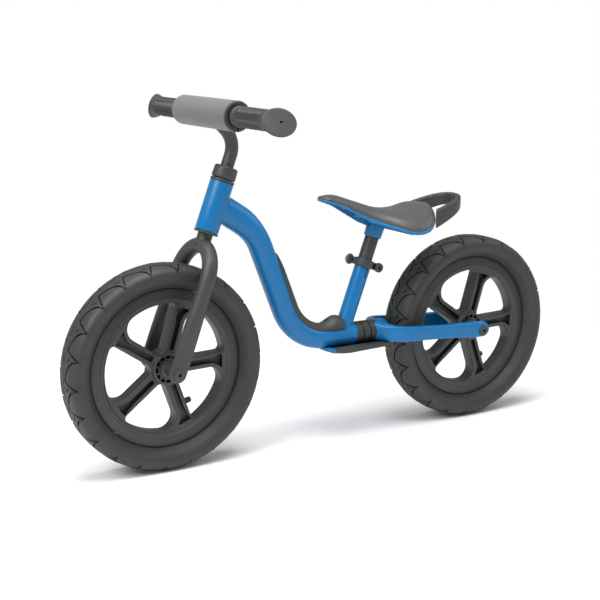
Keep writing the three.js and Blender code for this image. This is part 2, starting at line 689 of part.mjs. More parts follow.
add(steering, 'fork_crown', forkCrown(), BLACK_PAINT);
add(steering, 'steerer', steerer(), BLACK_PAINT);
add(steering, 'stem_clamp', stemClamp(), BLACK_PAINT);
add(steering, 'stem_clamp_bolt', stemClampBolt(), STEEL);
add(steering, 'handlebar_stem', handlebarStem(), BLACK_PAINT);
add(steering, 'stem_quill', stemQuill(), BLACK_PAINT);
add(steering, 'handlebar_bar', barAt(ringY(BAR_R - 1.6, BAR_R, -BAR_END, BAR_END, ROUND)), BLACK_PAINT);
add(steering, 'bar_pad', barPad(), FOAM);

for (const [hand, side] of [['left', 1], ['right', -1]]) {
  add(group, `stay_${hand}`, stay(side), BLUE);
  add(group, `footrest_pad_${hand}`, footrestPad(side), RUBBER);
  add(steering, `fork_leg_${hand}`, forkLeg(side), BLACK_PAINT);
  add(steering, `grip_${hand}`, grip(side), RUBBER);
}

const WHEELS = {
  front: { x: WHEELBASE / 2, seat: FORK_HALF + 1 - FORK_TIP_HALF, head: 53.1, outside: 55.2 },
  rear: { x: -WHEELBASE / 2, seat: STAY_OUT - STAY_THICK, head: STAY_OUT + GAP, outside: 52.4 },
};
for (const [end, { x, seat, head, outside }] of Object.entries(WHEELS)) {
  const wheel = new THREE.Group();
  wheel.position.set(x, 0, AXLE_Z);
  group.add(wheel);
  add(wheel, `${end}_tyre`, tyre(), RUBBER);
  add(wheel, `${end}_rim`, rim(), BLACK_PLASTIC);
  add(wheel, `${end}_valve`, valve(VALVE_R), RUBBER);
  add(wheel, `${end}_axle`, axle(seat - GAP), STEEL);
  for (const [hand, side] of [['left', 1], ['right', -1]]) {
    add(wheel, `${end}_bearing_${hand}`, bearing(side), STEEL);
    add(wheel, `${end}_spacer_${hand}`, spacer(side, seat - HUB_HALF - GAP), BLACK_PLASTIC);
    add(wheel, `${end}_bolt_${hand}`, axleBolt(side, head, outside), BLACK_PAINT);
  }
}

export default group;
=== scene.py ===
"""Balance bike: the finished looks of a toddler's running bike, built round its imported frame.

+X is forward, +Y is the rider's left, +Z is up. Shapes are drawn in millimetres in one of four
places (the row frame, the steering axis, the seat tube, a wheel's axle) and set in the frame in metres.
"""
import json
import math

import bmesh
import bpy
from mathutils import Matrix, Vector


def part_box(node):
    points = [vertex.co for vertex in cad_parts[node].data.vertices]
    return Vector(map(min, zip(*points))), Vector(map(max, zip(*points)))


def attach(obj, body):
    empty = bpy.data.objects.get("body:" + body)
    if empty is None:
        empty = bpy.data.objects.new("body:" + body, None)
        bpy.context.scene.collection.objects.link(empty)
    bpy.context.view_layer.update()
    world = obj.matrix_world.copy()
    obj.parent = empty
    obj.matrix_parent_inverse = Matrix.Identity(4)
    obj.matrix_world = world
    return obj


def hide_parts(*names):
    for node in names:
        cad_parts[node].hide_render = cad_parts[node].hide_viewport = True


bl_info = {
    "name": "Balance Bike",
    "version": (1, 0, 0),
    "blender": (4, 5, 0),
    "location": "View3D > Sidebar > Balance Bike",
    "description": "Builds a toddler's balance bike round its packed frame",
    "category": "Object",
}

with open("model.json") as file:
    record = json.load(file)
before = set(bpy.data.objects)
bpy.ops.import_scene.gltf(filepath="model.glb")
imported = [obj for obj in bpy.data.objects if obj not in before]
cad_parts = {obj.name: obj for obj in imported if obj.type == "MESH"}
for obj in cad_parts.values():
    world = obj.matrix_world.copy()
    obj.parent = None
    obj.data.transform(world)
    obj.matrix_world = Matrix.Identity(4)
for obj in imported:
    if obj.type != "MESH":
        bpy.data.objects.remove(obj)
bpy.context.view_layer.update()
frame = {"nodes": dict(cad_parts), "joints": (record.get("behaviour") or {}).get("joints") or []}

MM = 0.001
JOINTS = {joint["name"]: joint for joint in frame["joints"]}


# ---------------------------------------------------------------- places, from the frame
def middle(node):
    """The centre of a CAD node's box, in metres."""
    low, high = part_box(node)
    return (low + high) / 2


def lean_of(joint):
    """How far a joint's axis leans back from upright."""
    axis = Vector(JOINTS[joint]["axis"])
    return math.atan2(-axis.x, axis.z)


def place(x=0.0, z=0.0, lean=0.0):
    """Local millimetres, with Z up an axis that leans back, to the row frame in metres."""
    return Matrix.Translation((x, 0, z)) @ Matrix.Rotation(-lean, 4, "Y") @ Matrix.Scale(MM, 4)


def reach(node, where):
    """The lowest and highest corner of a CAD node, in a place's own millimetres."""
    back = where.inverted()
    points = [back @ vertex.co for vertex in frame["nodes"][node].data.vertices]
    return [Vector([pick(p[i] for p in points) for i in range(3)]) for pick in (min, max)]


FRONT, REAR = middle("front_axle"), middle("rear_axle")
HEAD_LEAN, SEAT_LEAN = lean_of("steering"), lean_of("seat_height")
POST_MIDDLE = 35                      # the seat post's middle, up the seat tube's own axis
ROW = place()
STEERING = place(FRONT.x, FRONT.z, HEAD_LEAN)
post = middle("seat_post")
SEATING = place(post.x + POST_MIDDLE * MM * math.sin(SEAT_LEAN),
                post.z - POST_MIDDLE * MM * math.cos(SEAT_LEAN), SEAT_LEAN)
WHEELS = {"front": place(FRONT.x, FRONT.z), "rear": place(REAR.x, REAR.z)}
WHEEL_BODY = {"front": "fork", "rear": "frame"}
SEAT_IN_ROW = Matrix.Scale(1 / MM, 4) @ SEATING      # the seat tube's place, in the row frame's millimetres

# ---------------------------------------------------------------- driving dimensions, in mm
TYRE_R = FRONT.z / MM                 # the tyre stands on the ground
BEAD_R, BEAD_HALF = 117.4, 12.3
MAIN_R = 18
MAIN_Z = 164                          # height of the main tube's level part
MAIN_CORNERS = [(193.8, 383.7), (128.8, 343.1), (55.7, MAIN_Z), (-50, MAIN_Z)]
MAIN_BENDS = [96, 80]
MAIN_LEVEL = Matrix.Translation((0, 0, MAIN_Z))
HEAD_R = 17.5
HEAD_LOW, HEAD_HIGH = (corner.z for corner in reach("head_tube", STEERING))
SEAT_TUBE_R = 12.7
SEAT_TUBE_HIGH = reach("seat_tube", SEATING)[1].z
POST_R = 11.1
POST_LOW, POST_HIGH = (corner.z for corner in reach("seat_post", SEATING))
CLAMP_LOW, CLAMP_HIGH = (corner.z for corner in reach("seat_clamp", SEATING))
CLAMP_MIDDLE = (CLAMP_LOW + CLAMP_HIGH) / 2
CLAMP_BOLT_X = -21.4
STEM_R = 9.6
BAR_R = 9.8
BAR_X, BAR_S = 51.8, 366.8            # bar centre, forward of the steering axis and along it
PAD_HALF = 82
FORK_HALF, FORK_R = 47, 11.5
FORK_BEND_S = 137
FORK_TIP_R, FORK_TIP_HALF = 13, 4.8
STEERER_R = 11.1
STAY_MIDDLE, STAY_HALF = 43.5, 6.5
FOOT_LOW_Z, FOOT_TOP_Z = (corner.z for corner in reach("footrest_base", ROW))
RIM_IN_R = 95
WEB_HALF, BAND_HALF, HUB_HALF = 12, 15, 17
SPOKES, SPOKE_START = 5, math.radians(34)
SPOKE_HALF = 10.3
SPOKE_FILLET = 20.0                   # where a spoke's nearer edge runs into the rim
DROPOUT_R = 13.0                      # the round end of a stay
BOLT_HEAD_FROM = {"front": 53.1, "rear": 50.3}       # inner face of an axle bolt's head

SADDLE_REAR, SADDLE_NOSE = -188, 16
SADDLE_TOP = [(-188, 364), (-165, 366), (-140, 359.5), (-110, 359), (-80, 364), (-40, 376.5), (-8, 386),
              (16, 384)]
SADDLE_EDGE = [(-188, 349), (-170, 340), (-150, 330), (-120, 327), (-100, 333), (-60, 347), (-20, 368),
               (16, 381)]
SADDLE_HALF = [(-188, 14), (-180, 36), (-168, 52), (-150, 65), (-130, 70), (-110, 65), (-80, 43), (-50, 26),
               (-20, 19), (4, 17), (12, 13), (16, 7)]


# ---------------------------------------------------------------- outlines
def softened(corners, radius, steps=4, closed=True):
    """An outline whose corners are rounded by arcs, of one radius or of one radius per corner."""
    points = [Vector(corner) for corner in corners]
    outline = []
    for i, corner in enumerate(points):
        wanted = radius[i] if isinstance(radius, (list, tuple)) else radius
        before, after = points[i - 1] - corner, points[(i + 1) % len(points)] - corner
        if (not closed and i in (0, len(points) - 1)) or wanted <= 0:
            outline.append(corner)
            continue
        half = before.angle(after) / 2
        run = min(wanted / math.tan(half), before.length * 0.48, after.length * 0.48)
        if run < 1e-4:
            outline.append(corner)
            continue
        centre = corner + (before.normalized() + after.normalized()).normalized() * run / math.cos(half)
        start, stop = corner + before.normalized() * run - centre, corner + after.normalized() * run - centre
        for k in range(steps + 1):
            outline.append(centre + start.lerp(stop, k / steps).normalized() * start.length)
    return outline


def arc(centre, radius, start, stop, steps):
    """Points round part of a circle, between two angles in radians."""
    angles = [start + (stop - start) * k / steps for k in range(steps + 1)]
    return [Vector((centre[0] + radius * math.cos(a), centre[1] + radius * math.sin(a))) for a in angles]


def section(half_a, half_b, power=2.0, sides=32):
    """Points round an ellipse, or round a soft-cornered rectangle as the power grows."""
    points = []
    for k in range(sides):
        c, s = math.cos(2 * math.pi * k / sides), math.sin(2 * math.pi * k / sides)
        points.append((math.copysign(abs(c) ** (2 / power), c) * half_a,
                       math.copysign(abs(s) ** (2 / power), s) * half_b))
    return points


def through(points, x):
    """Smooth value at x through a short list of (x, value) points."""
    i = 0
    while i < len(points) - 2 and x > points[i + 1][0]:
        i += 1

    def slope(k):
        low, high = max(k - 1, 0), min(k + 1, len(points) - 1)
        return (points[high][1] - points[low][1]) / (points[high][0] - points[low][0])

    span = points[i + 1][0] - points[i][0]
    t = (x - points[i][0]) / span
    return ((2 * t**3 - 3 * t**2 + 1) * points[i][1] + (t**3 - 2 * t**2 + t) * span * slope(i)
            + (3 * t**2 - 2 * t**3) * points[i + 1][1] + (t**3 - t**2) * span * slope(i + 1))


def smooth_step(x, low, high):
    t = min(1.0, max(0.0, (x - low) / (high - low)))
    return t * t * (3 - 2 * t)


def bent(corners, bends, spacing=8.0, bend_step=math.radians(5)):
    """Stations (point, direction) along straight runs joined by round bends."""
    points = [Vector(corner) for corner in corners]
    ways = [(b - a).normalized() for a, b in zip(points, points[1:])]
    knots = [(points[0], ways[0])]
    for corner, before, after, radius in zip(points[1:], ways, ways[1:], bends):
        turn = before.angle(after)
        centre = corner + (after - before).normalized() * radius / math.cos(turn / 2)
        axis = before.cross(after).normalized()
        first = corner - before * radius * math.tan(turn / 2) - centre
        count = max(2, round(turn / bend_step))
        for k in range(count + 1):
            swing = Matrix.Rotation(turn * k / count, 3, axis)
            knots.append((centre + swing @ first, swing @ before))
    knots.append((points[-1], ways[-1]))
    stations = [knots[0]]
    for (a, way), (b, _) in zip(knots, knots[1:]):
        length = (b - a).length
        straight = abs(way.angle((b - a).normalized(), 0.0)) < 1e-3
        for k in range(1, max(1, round(length / spacing)) if straight else 1):
            stations.append((a.lerp(b, k * spacing / length), way))
        stations.append((b, next(w for p, w in knots if p is b)))
    return stations


def in_plane(corners):
    """(x, z) corners as points of the plane y = 0."""
    return [(x, 0, z) for x, z in corners]


# ---------------------------------------------------------------- drafts: meshes in millimetres
def draft(points, faces):
    """A mesh object of points and faces, with stray doubles merged and its faces pointing out."""
    mesh = bpy.data.meshes.new("draft")
    mesh.from_pydata([tuple(p) for p in points], [], faces)
    work = bmesh.new()
    work.from_mesh(mesh)
    bmesh.ops.remove_doubles(work, verts=work.verts, dist=1e-4)
    bmesh.ops.recalc_face_normals(work, faces=work.faces)
    work.to_mesh(mesh)
    work.free()
    made = bpy.data.objects.new("draft", mesh)
    bpy.context.scene.collection.objects.link(made)
    return made


def loft(rings, ends=True, looped=False):
    """Rings of equally many points, skinned one to the next, with flat ends or looped round."""
    count = len(rings[0])
    points = [point for ring in rings for point in ring]
    faces = []
    for i in range(len(rings) if looped else len(rings) - 1):
        here, there = i * count, (i + 1) % len(rings) * count
        for j in range(count):
            k = (j + 1) % count
            faces.append((here + j, here + k, there + k, there + j))
    if ends and not looped:
        last = (len(rings) - 1) * count
        faces += [tuple(reversed(range(count))), tuple(range(last, last + count))]
    return draft(points, faces)


def lathe(outline, axis="Y", sides=64):
    """A closed outline of (radius, height) points turned about an axis."""
    rings = []
    for k in range(sides):
        c, s = math.cos(2 * math.pi * k / sides), math.sin(2 * math.pi * k / sides)
        order = {"X": lambda r, h: (h, r * c, r * s), "Y": lambda r, h: (r * c, h, r * s),
                 "Z": lambda r, h: (r * c, r * s, h)}[axis]
        rings.append([order(r, h) for r, h in outline])
    return loft(rings, looped=True)


def ring(inner, outer, low, high, axis="Y", soft=0.8, sides=64):
    """A turned ring with softened edges."""
    corners = [(inner, low), (outer, low), (outer, high), (inner, high)]
    return lathe(softened(corners, soft, 3), axis, sides)


def rod(radius, low, high, axis="Y", sides=48):
    """A plain round tool for cutting."""
    return lathe([(0, low), (radius, low), (radius, high), (0, high)], axis, sides)


def sweep(stations, shape, side=(0, 1, 0)):
    """A section carried along stations: shape(i) gives (across, up) points at station i."""
    across = Vector(side)
    rings = []
    for i, (at, way) in enumerate(stations):
        up = across.cross(way).normalized()
        rings.append([at + across * a + up * b for a, b in shape(i)])
    return loft(rings)


def slab(outline, low, high, flat="Z", soft=0.0, steps=3):
    """A flat outline made thick: along Z from (x, y) points, or along Y from (x, z) points.
    Its two rims are rounded by shrinking the outline towards its inside."""
    count = len(outline)
    normals = []
    for i in range(count):
        way = (outline[(i + 1) % count] - outline[i - 1]).normalized()
        normals.append(Vector((way.y, -way.x)))
    area = sum(a.x * b.y - b.x * a.y for a, b in zip(outline, outline[1:] + outline[:1]))
    inward = -1 if area > 0 else 1
    rows = [(low, 0.0), (high, 0.0)]
    if soft:
        turn = [math.pi / 2 * k / steps for k in range(steps + 1)]
        rows = [(low + soft * (1 - math.sin(t)), soft * (1 - math.cos(t))) for t in reversed(turn)]
        rows += [(high - soft * (1 - math.sin(t)), soft * (1 - math.cos(t))) for t in turn]
    rings = []
    for height, inset in rows:
        flat_ring = [p + n * inset * inward for p, n in zip(outline, normals)]
        rings.append([(p.x, p.y, height) if flat == "Z" else (p.x, height, p.y) for p in flat_ring])
    return loft(rings)


def block(x0, x1, y0, y1, z0, z1):
    """A plain box-shaped tool for cutting."""
    return slab([Vector(p) for p in ((x0, y0), (x1, y0), (x1, y1), (x0, y1))], z0, z1)


def settle(made):
    """Turns an object's modifiers into its mesh."""
    bpy.context.view_layer.update()
    graph = bpy.context.evaluated_depsgraph_get()
    made.data = bpy.data.meshes.new_from_object(made.evaluated_get(graph))
    made.modifiers.clear()
    return made


def combined(base, operation, tools):
    for tool in tools:
        step = base.modifiers.new("step", "BOOLEAN")
        step.operation, step.object, step.solver = operation, tool, "EXACT"
    settle(base)
    for tool in tools:
        bpy.data.objects.remove(tool)
    return base


def cut(base, *tools):
    return combined(base, "DIFFERENCE", tools)


def fused(base, *tools):
    return combined(base, "UNION", tools)


def kept_inside(base, *tools):
    return combined(base, "INTERSECT", tools)


def together(base, *others):
    """Several drafts as one mesh of separate shells."""
    work = bmesh.new()
    for made in (base, *others):
        work.from_mesh(made.data)
    work.to_mesh(base.data)
    work.free()
    for other in others:
        bpy.data.objects.remove(other)
    return base


def melted(made, grain, passes=4):
    """Seams and edges run together, as they are in a casting or a moulding."""
    skin = made.modifiers.new("skin", "REMESH")
    skin.mode, skin.voxel_size = "VOXEL", grain
    blend = made.modifiers.new("blend", "SMOOTH")
    blend.factor, blend.iterations = 0.5, passes
    return settle(made)


def moved(made, matrix):
    made.data.transform(matrix)
    return made


def mirrored(made):
    """The same draft on the other side of the bike."""
    copy = bpy.data.objects.new("draft", made.data.copy())
    bpy.context.scene.collection.objects.link(copy)
    copy.data.transform(Matrix.Scale(-1, 4, (0, 1, 0)))
    copy.data.flip_normals()
    return copy


def piece(name, made, where, finish, body, slot, *nodes, crease=35):
    """Sets a finished draft in the frame with its material and body, hiding the CAD nodes it stands for. Its
    slot is not used.
    """
    made.data.transform(where)
    made.name = name
    made.data.name = name
    made.data.materials.clear()
    made.data.materials.append(finish)
    made.data.shade_smooth()
    made.data.set_sharp_from_angle(angle=math.radians(crease))
    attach(made, body)
    if nodes:
        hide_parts(*nodes)
    return made


def weld(foot_of, shape, bead, steps=5):
    """Rings of a fillet at a tube's foot: foot_of(a, b, lift) drops the section's point on its
    neighbour's surface, lifted by lift."""
    rings = []
    for k in range(steps + 1):
        turn = math.pi / 2 * k / steps
        grow, lift = bead * (1 - math.cos(turn)), bead * (1 - math.sin(turn))
        rings.append([])
        for a, b in shape:
            out = 1 + grow / math.hypot(a, b)
            rings[-1].append(foot_of(a * out, b * out, lift))
    return rings


# ---------------------------------------------------------------- colours
def linear(code):
    """An sRGB hex code as the linear colour that the shaders take."""
    channels = [int(code[i:i + 2], 16) / 255 for i in (1, 3, 5)]
    return [c / 12.92 if c <= 0.04045 else ((c + 0.055) / 1.055) ** 2.4 for c in channels]


def colour(name, description, code):
    return bpy.props.FloatVectorProperty(name=name, description=description, default=linear(code),
                                         subtype="COLOR", size=3, min=0.0, max=1.0)


def length(name, description, default):
    return bpy.props.FloatProperty(name=name, description=description, default=default * MM,
                                   unit="LENGTH", subtype="DISTANCE", min=0.0, precision=5)


class BikeSizes(bpy.types.PropertyGroup):
    weld_bead: length("Weld bead", "Radius of the fillet where two frame tubes meet", 2.6)
    tread_groove: length("Tread groove", "Depth of the tyre's scalloped groove", 2.2)
    tread_rise: length("Tread rise", "How far the tread blocks stand above the sidewall", 0.3)
    grip_rib: length("Grip rib", "Height of the chevron ribs on the grips", 2.3)
    footrest_ridge: length("Footrest ridge", "Height of the ridges on the footrest pads", 2.0)
    tread_blocks: bpy.props.IntProperty(name="Tread blocks", description="Tread repeats round a tyre",
                                        default=22, min=8, max=40)


class BikeColours(bpy.types.PropertyGroup):
    blue_paint: colour("Blue paint", "Powder coat of the frame", "#0067A0")
    blue_plastic: colour("Blue plastic", "Moulded saddle base and footrest", "#00689E")
    dark_paint: colour("Dark paint", "Powder coat of the fork and stem", "#343735")
    dark_plastic: colour("Dark plastic", "Moulded wheels and carry handle", "#303230")
    tyre_rubber: colour("Tyre", "Foamed tyre", "#2C2E2C")
    dark_rubber: colour("Dark rubber", "Grips, pads and bands", "#323533")
    saddle_skin: colour("Saddle skin", "Foamed saddle top", "#444647")
    pale_cover: colour("Pale cover", "Cover of the bar pad", "#5E5F5D")
    lever_grey: colour("Lever grey", "Quick-release lever", "#6A6866")
    bright_steel: colour("Bright steel", "Plated steel parts", "#B9BBBD")
    black_steel: colour("Black steel", "Blackened screws", "#2B2C2D")
    floor: colour("Floor", "Studio floor", "#F6F6F7")


# ---------------------------------------------------------------- materials
FINISHES = {}
CLOUD_MM = 38                         # width of the gloss's slow clouds
CREVICE_SHADE_REACH_MM = 9                  # how near another surface must be to paint shade into a crevice


def node(tree, kind, settings=(), **links):
    """Adds a node with its settings, and links that feed its sockets, and returns it."""
    made = tree.nodes.new(kind)
    for key, value in dict(settings).items():
        if key in made.inputs:
            made.inputs[key].default_value = value
        else:
            setattr(made, key, value)
    for key, source in links.items():
        tree.links.new(source, made.inputs[key.replace("_", " ")])
    return made


def shade(name, base, metal, ior, grain_mm, grain_height_mm, low, high, mottle_and_edge_highlight, crevice_shade, **extra):
    """A surface with a fine grain in relief, uneven gloss between the roughnesses low and high, a
    faint mottle in its colour, a painted highlight on its convex edges and painted shade in its crevices.
    Grain sizes are in real millimetres."""
    made = bpy.data.materials.new(name)
    made.use_nodes = True
    made.diffuse_color = (*base, 1)
    tree = made.node_tree
    tree.nodes.clear()
    where = node(tree, "ShaderNodeTexCoord").outputs["Object"]
    cloud = node(tree, "ShaderNodeTexNoise", {"Scale": 1 / (CLOUD_MM * MM), "Detail": 4.0, "Roughness": 0.6},
                 Vector=where)
    grain = node(tree, "ShaderNodeTexNoise", {"Scale": 1 / (grain_mm * MM), "Detail": 3.0, "Roughness": 0.55},
                 Vector=where)
    gloss = node(tree, "ShaderNodeMapRange",
                 {"From Min": 0.3, "From Max": 0.7, "To Min": low, "To Max": high},
                 Value=cloud.outputs["Fac"])
    # Painted highlight: convex edges, found by pointiness, are made lighter by up to the mottle amount.
    edge = node(tree, "ShaderNodeNewGeometry").outputs["Pointiness"]
    painted_edge_highlight = node(tree, "ShaderNodeMapRange",
                {"From Min": 0.5, "From Max": 0.6, "To Min": 0.0, "To Max": mottle_and_edge_highlight}, Value=edge)
    uneven = node(tree, "ShaderNodeMapRange",
                  {"From Min": 0.3, "From Max": 0.7, "To Min": 1 - mottle_and_edge_highlight, "To Max": 1 + mottle_and_edge_highlight * 0.6},
                  Value=grain.outputs["Fac"])
    # Painted shade: the colour goes darker where ambient occlusion finds other surfaces near, in crevices,
    # grooves and pockets.
    deep = node(tree, "ShaderNodeAmbientOcclusion",
                {"samples": 6, "Distance": CREVICE_SHADE_REACH_MM * MM}).outputs["AO"]
    painted_shade = node(tree, "ShaderNodeMapRange",
                {"From Min": 0.42, "From Max": 0.92, "To Min": -crevice_shade, "To Max": 0.0}, Value=deep)
    relit = node(tree, "ShaderNodeMath", {"operation": "ADD"})
    tree.links.new(painted_edge_highlight.outputs["Result"], relit.inputs[0])
    tree.links.new(painted_shade.outputs["Result"], relit.inputs[1])
    tone = node(tree, "ShaderNodeMath", {"operation": "ADD"})
    tree.links.new(uneven.outputs["Result"], tone.inputs[0])
    tree.links.new(relit.outputs["Value"], tone.inputs[1])
    tint = node(tree, "ShaderNodeHueSaturation", {"Color": (*base, 1)}, Value=tone.outputs["Value"])
    relief = node(tree, "ShaderNodeBump", {"Strength": 1.0, "Distance": grain_height_mm * MM},
                  Height=grain.outputs["Fac"])
    shader = node(tree, "ShaderNodeBsdfPrincipled", {"Metallic": metal, "IOR": ior, **extra},
                  Base_Color=tint.outputs["Color"], Roughness=gloss.outputs["Result"],
                  Normal=relief.outputs["Normal"])
    node(tree, "ShaderNodeOutputMaterial", Surface=shader.outputs["BSDF"])
    return made


def make_finishes(colours):
    """Every finish on the bike, each named for what it is and how its surface was made."""
    # Each finish also gets a painted highlight on convex edges and painted shade in crevices, set by its
    # mottle and crevice amounts.
    # Polyester powder coat, baked gloss: a broad soft highlight with a slight orange peel.
    FINISHES["blue_paint"] = shade(
        "Gloss blue polyester powder coat", colours.blue_paint, metal=0.0, ior=1.5, grain_mm=1.6,
        grain_height_mm=0.012, low=0.3, high=0.4, mottle_and_edge_highlight=0.02, crevice_shade=0.3,
        **{"Coat Weight": 0.05, "Coat Roughness": 0.2, "Specular IOR Level": 0.35})
    # Polypropylene moulded in colour: a waxy sheen, a little softer than the paint.
    FINISHES["blue_plastic"] = shade(
        "Moulded blue polypropylene", colours.blue_plastic, metal=0.0, ior=1.49, grain_mm=0.9,
        grain_height_mm=0.03, low=0.36, high=0.5, mottle_and_edge_highlight=0.04, crevice_shade=0.5)
    # Matt powder coat: fine sandy texture that breaks the highlight up.
    FINISHES["dark_paint"] = shade(
        "Matt charcoal powder coat", colours.dark_paint, metal=0.0, ior=1.5, grain_mm=0.9,
        grain_height_mm=0.05, low=0.42, high=0.56, mottle_and_edge_highlight=0.06, crevice_shade=0.6)
    # Glass-filled nylon off a spark-eroded mould: even dry grain, with a painted highlight on its edges.
    FINISHES["dark_plastic"] = shade(
        "Moulded charcoal nylon", colours.dark_plastic, metal=0.0, ior=1.53, grain_mm=1.0,
        grain_height_mm=0.06, low=0.42, high=0.54, mottle_and_edge_highlight=0.07, crevice_shade=0.92)
    # Foamed EVA tyre: matt, cloudy, with the fine pores of its skin drawn a little coarse to show.
    FINISHES["tyre"] = shade(
        "Foamed charcoal tyre rubber", colours.tyre_rubber, metal=0.0, ior=1.5, grain_mm=1.3,
        grain_height_mm=0.08, low=0.5, high=0.64, mottle_and_edge_highlight=0.08, crevice_shade=0.98)
    # Thermoplastic rubber: soft and dull, with a faint skin texture.
    FINISHES["rubber"] = shade(
        "Moulded thermoplastic rubber", colours.dark_rubber, metal=0.0, ior=1.5, grain_mm=0.8,
        grain_height_mm=0.06, low=0.5, high=0.64, mottle_and_edge_highlight=0.08, crevice_shade=0.85)
    # Self-skinned polyurethane foam: a leathery pebble about a millimetre across, satin where sat on.
    FINISHES["saddle"] = shade(
        "Self-skinned polyurethane saddle foam", colours.saddle_skin, metal=0.0, ior=1.5, grain_mm=1.5,
        grain_height_mm=0.08, low=0.34, high=0.44, mottle_and_edge_highlight=0.04, crevice_shade=0.5)
    # Neoprene-type cover stuck on foam: dull, felted, with a soft sheen at grazing angles.
    FINISHES["cover"] = shade(
        "Laminated pale grey pad cover", colours.pale_cover, metal=0.0, ior=1.45, grain_mm=1.0,
        grain_height_mm=0.12, low=0.62, high=0.76, mottle_and_edge_highlight=0.06, crevice_shade=0.5,
        **{"Sheen Weight": 0.25, "Sheen Roughness": 0.4})
    # Bead-blasted cast zinc under a satin lacquer: a pale metallic grey without sharp reflections.
    FINISHES["lever"] = shade(
        "Satin lacquered cast lever", colours.lever_grey, metal=0.25, ior=1.5, grain_mm=0.9,
        grain_height_mm=0.04, low=0.36, high=0.5, mottle_and_edge_highlight=0.05, crevice_shade=0.6)
    # Zinc-plated steel: cool, bright, faintly blotched by the passivation.
    FINISHES["steel"] = shade(
        "Zinc plated steel", colours.bright_steel, metal=1.0, ior=1.5, grain_mm=1.2,
        grain_height_mm=0.02, low=0.24, high=0.38, mottle_and_edge_highlight=0.06, crevice_shade=0.6)
    # Black-oxide screws: nearly black, oily satin.
    FINISHES["black_steel"] = shade(
        "Black oxide steel screws", colours.black_steel, metal=0.6, ior=1.5, grain_mm=0.9,
        grain_height_mm=0.02, low=0.32, high=0.46, mottle_and_edge_highlight=0.06, crevice_shade=0.6)


# ---------------------------------------------------------------- frame tubes
def oval_near_head(i, stations, sides=48):
    """The main tube is pressed narrow and tall where it meets the head tube."""
    at = stations[i][0]
    squeeze = 1 - smooth_step((at - stations[0][0]).length, 45, 95)
    return section(MAIN_R - 3.0 * squeeze, MAIN_R + 2.4 * squeeze, 2.0, sides)


def main_tube(bead):
    head_at = Vector((FRONT.x / MM, 0, FRONT.z / MM))
    head_way = Vector((-math.sin(HEAD_LEAN), 0, math.cos(HEAD_LEAN)))
    stations = bent(in_plane(MAIN_CORNERS), MAIN_BENDS, spacing=6)
    way = stations[0][1]
    up = Vector((0, 1, 0)).cross(way).normalized()
    start = stations[0][0]

    def foot(a, b, lift):
        """Slides a point of the section towards the head tube until it touches."""
        point = start + Vector((0, 1, 0)) * a + up * b
        flat = way - head_way * way.dot(head_way)
        off = (point - head_at) - head_way * (point - head_at).dot(head_way)
        p, q = flat.dot(flat), 2 * flat.dot(off)
        r = off.dot(off) - (HEAD_R + lift) ** 2
        return point + way * (-q + math.sqrt(max(0.0, q * q - 4 * p * r))) / (2 * p)

    rings = weld(foot, oval_near_head(0, stations), bead)[::-1]
    clear = max((p - start).dot(way) for p in rings[-1]) + 3
    for i, (at, direction) in enumerate(stations):
        if (at - start).dot(way) < clear:
            continue
        lift = Vector((0, 1, 0)).cross(direction).normalized()
        rings.append([at + Vector((0, 1, 0)) * a + lift * b for a, b in oval_near_head(i, stations)])
    inside = rod(HEAD_R - 1.0, HEAD_LOW - 90, HEAD_HIGH + 90, "Z", 96)
    return cut(loft(rings), moved(inside, Matrix.Scale(1 / MM, 4) @ STEERING))


def seat_tube(bead):
    sides = 48
    shape = section(SEAT_TUBE_R, SEAT_TUBE_R, 2.0, sides)
    way = SEAT_IN_ROW.to_3x3() @ Vector((0, 0, -1))

    def foot(a, b, lift):
        """Slides a point of the section down the seat tube until it touches the main tube."""
        point = SEAT_IN_ROW @ Vector((a, b, 0))
        off = point.z - MAIN_Z
        p, q, r = way.z ** 2, 2 * way.z * off, off * off + point.y ** 2 - (MAIN_R + lift) ** 2
        return Vector((a, b, -(-q - math.sqrt(max(0.0, q * q - 4 * p * r))) / (2 * p)))

    rings = weld(foot, shape, bead)[::-1]
    top = SEAT_TUBE_HIGH
    for height in (-20, 0, 20, top - 1, top - 0.4, top):
        radius = SEAT_TUBE_R - max(0.0, height - top + 0.8) * 0.5
        rings.append([Vector((a, b, height)) for a, b in section(radius, radius, 2.0, sides)])
    tube = loft(rings)
    bore = rod(POST_R + 0.4, -60, top + 5, "Z")
    slot = slab(softened([(-22, -1.1), (-4, -1.1), (-4, 1.1), (-22, 1.1)], 0.4), 15, top + 5)
    return cut(tube, bore, moved(slot, Matrix.Rotation(math.radians(-85), 4, "Z")))


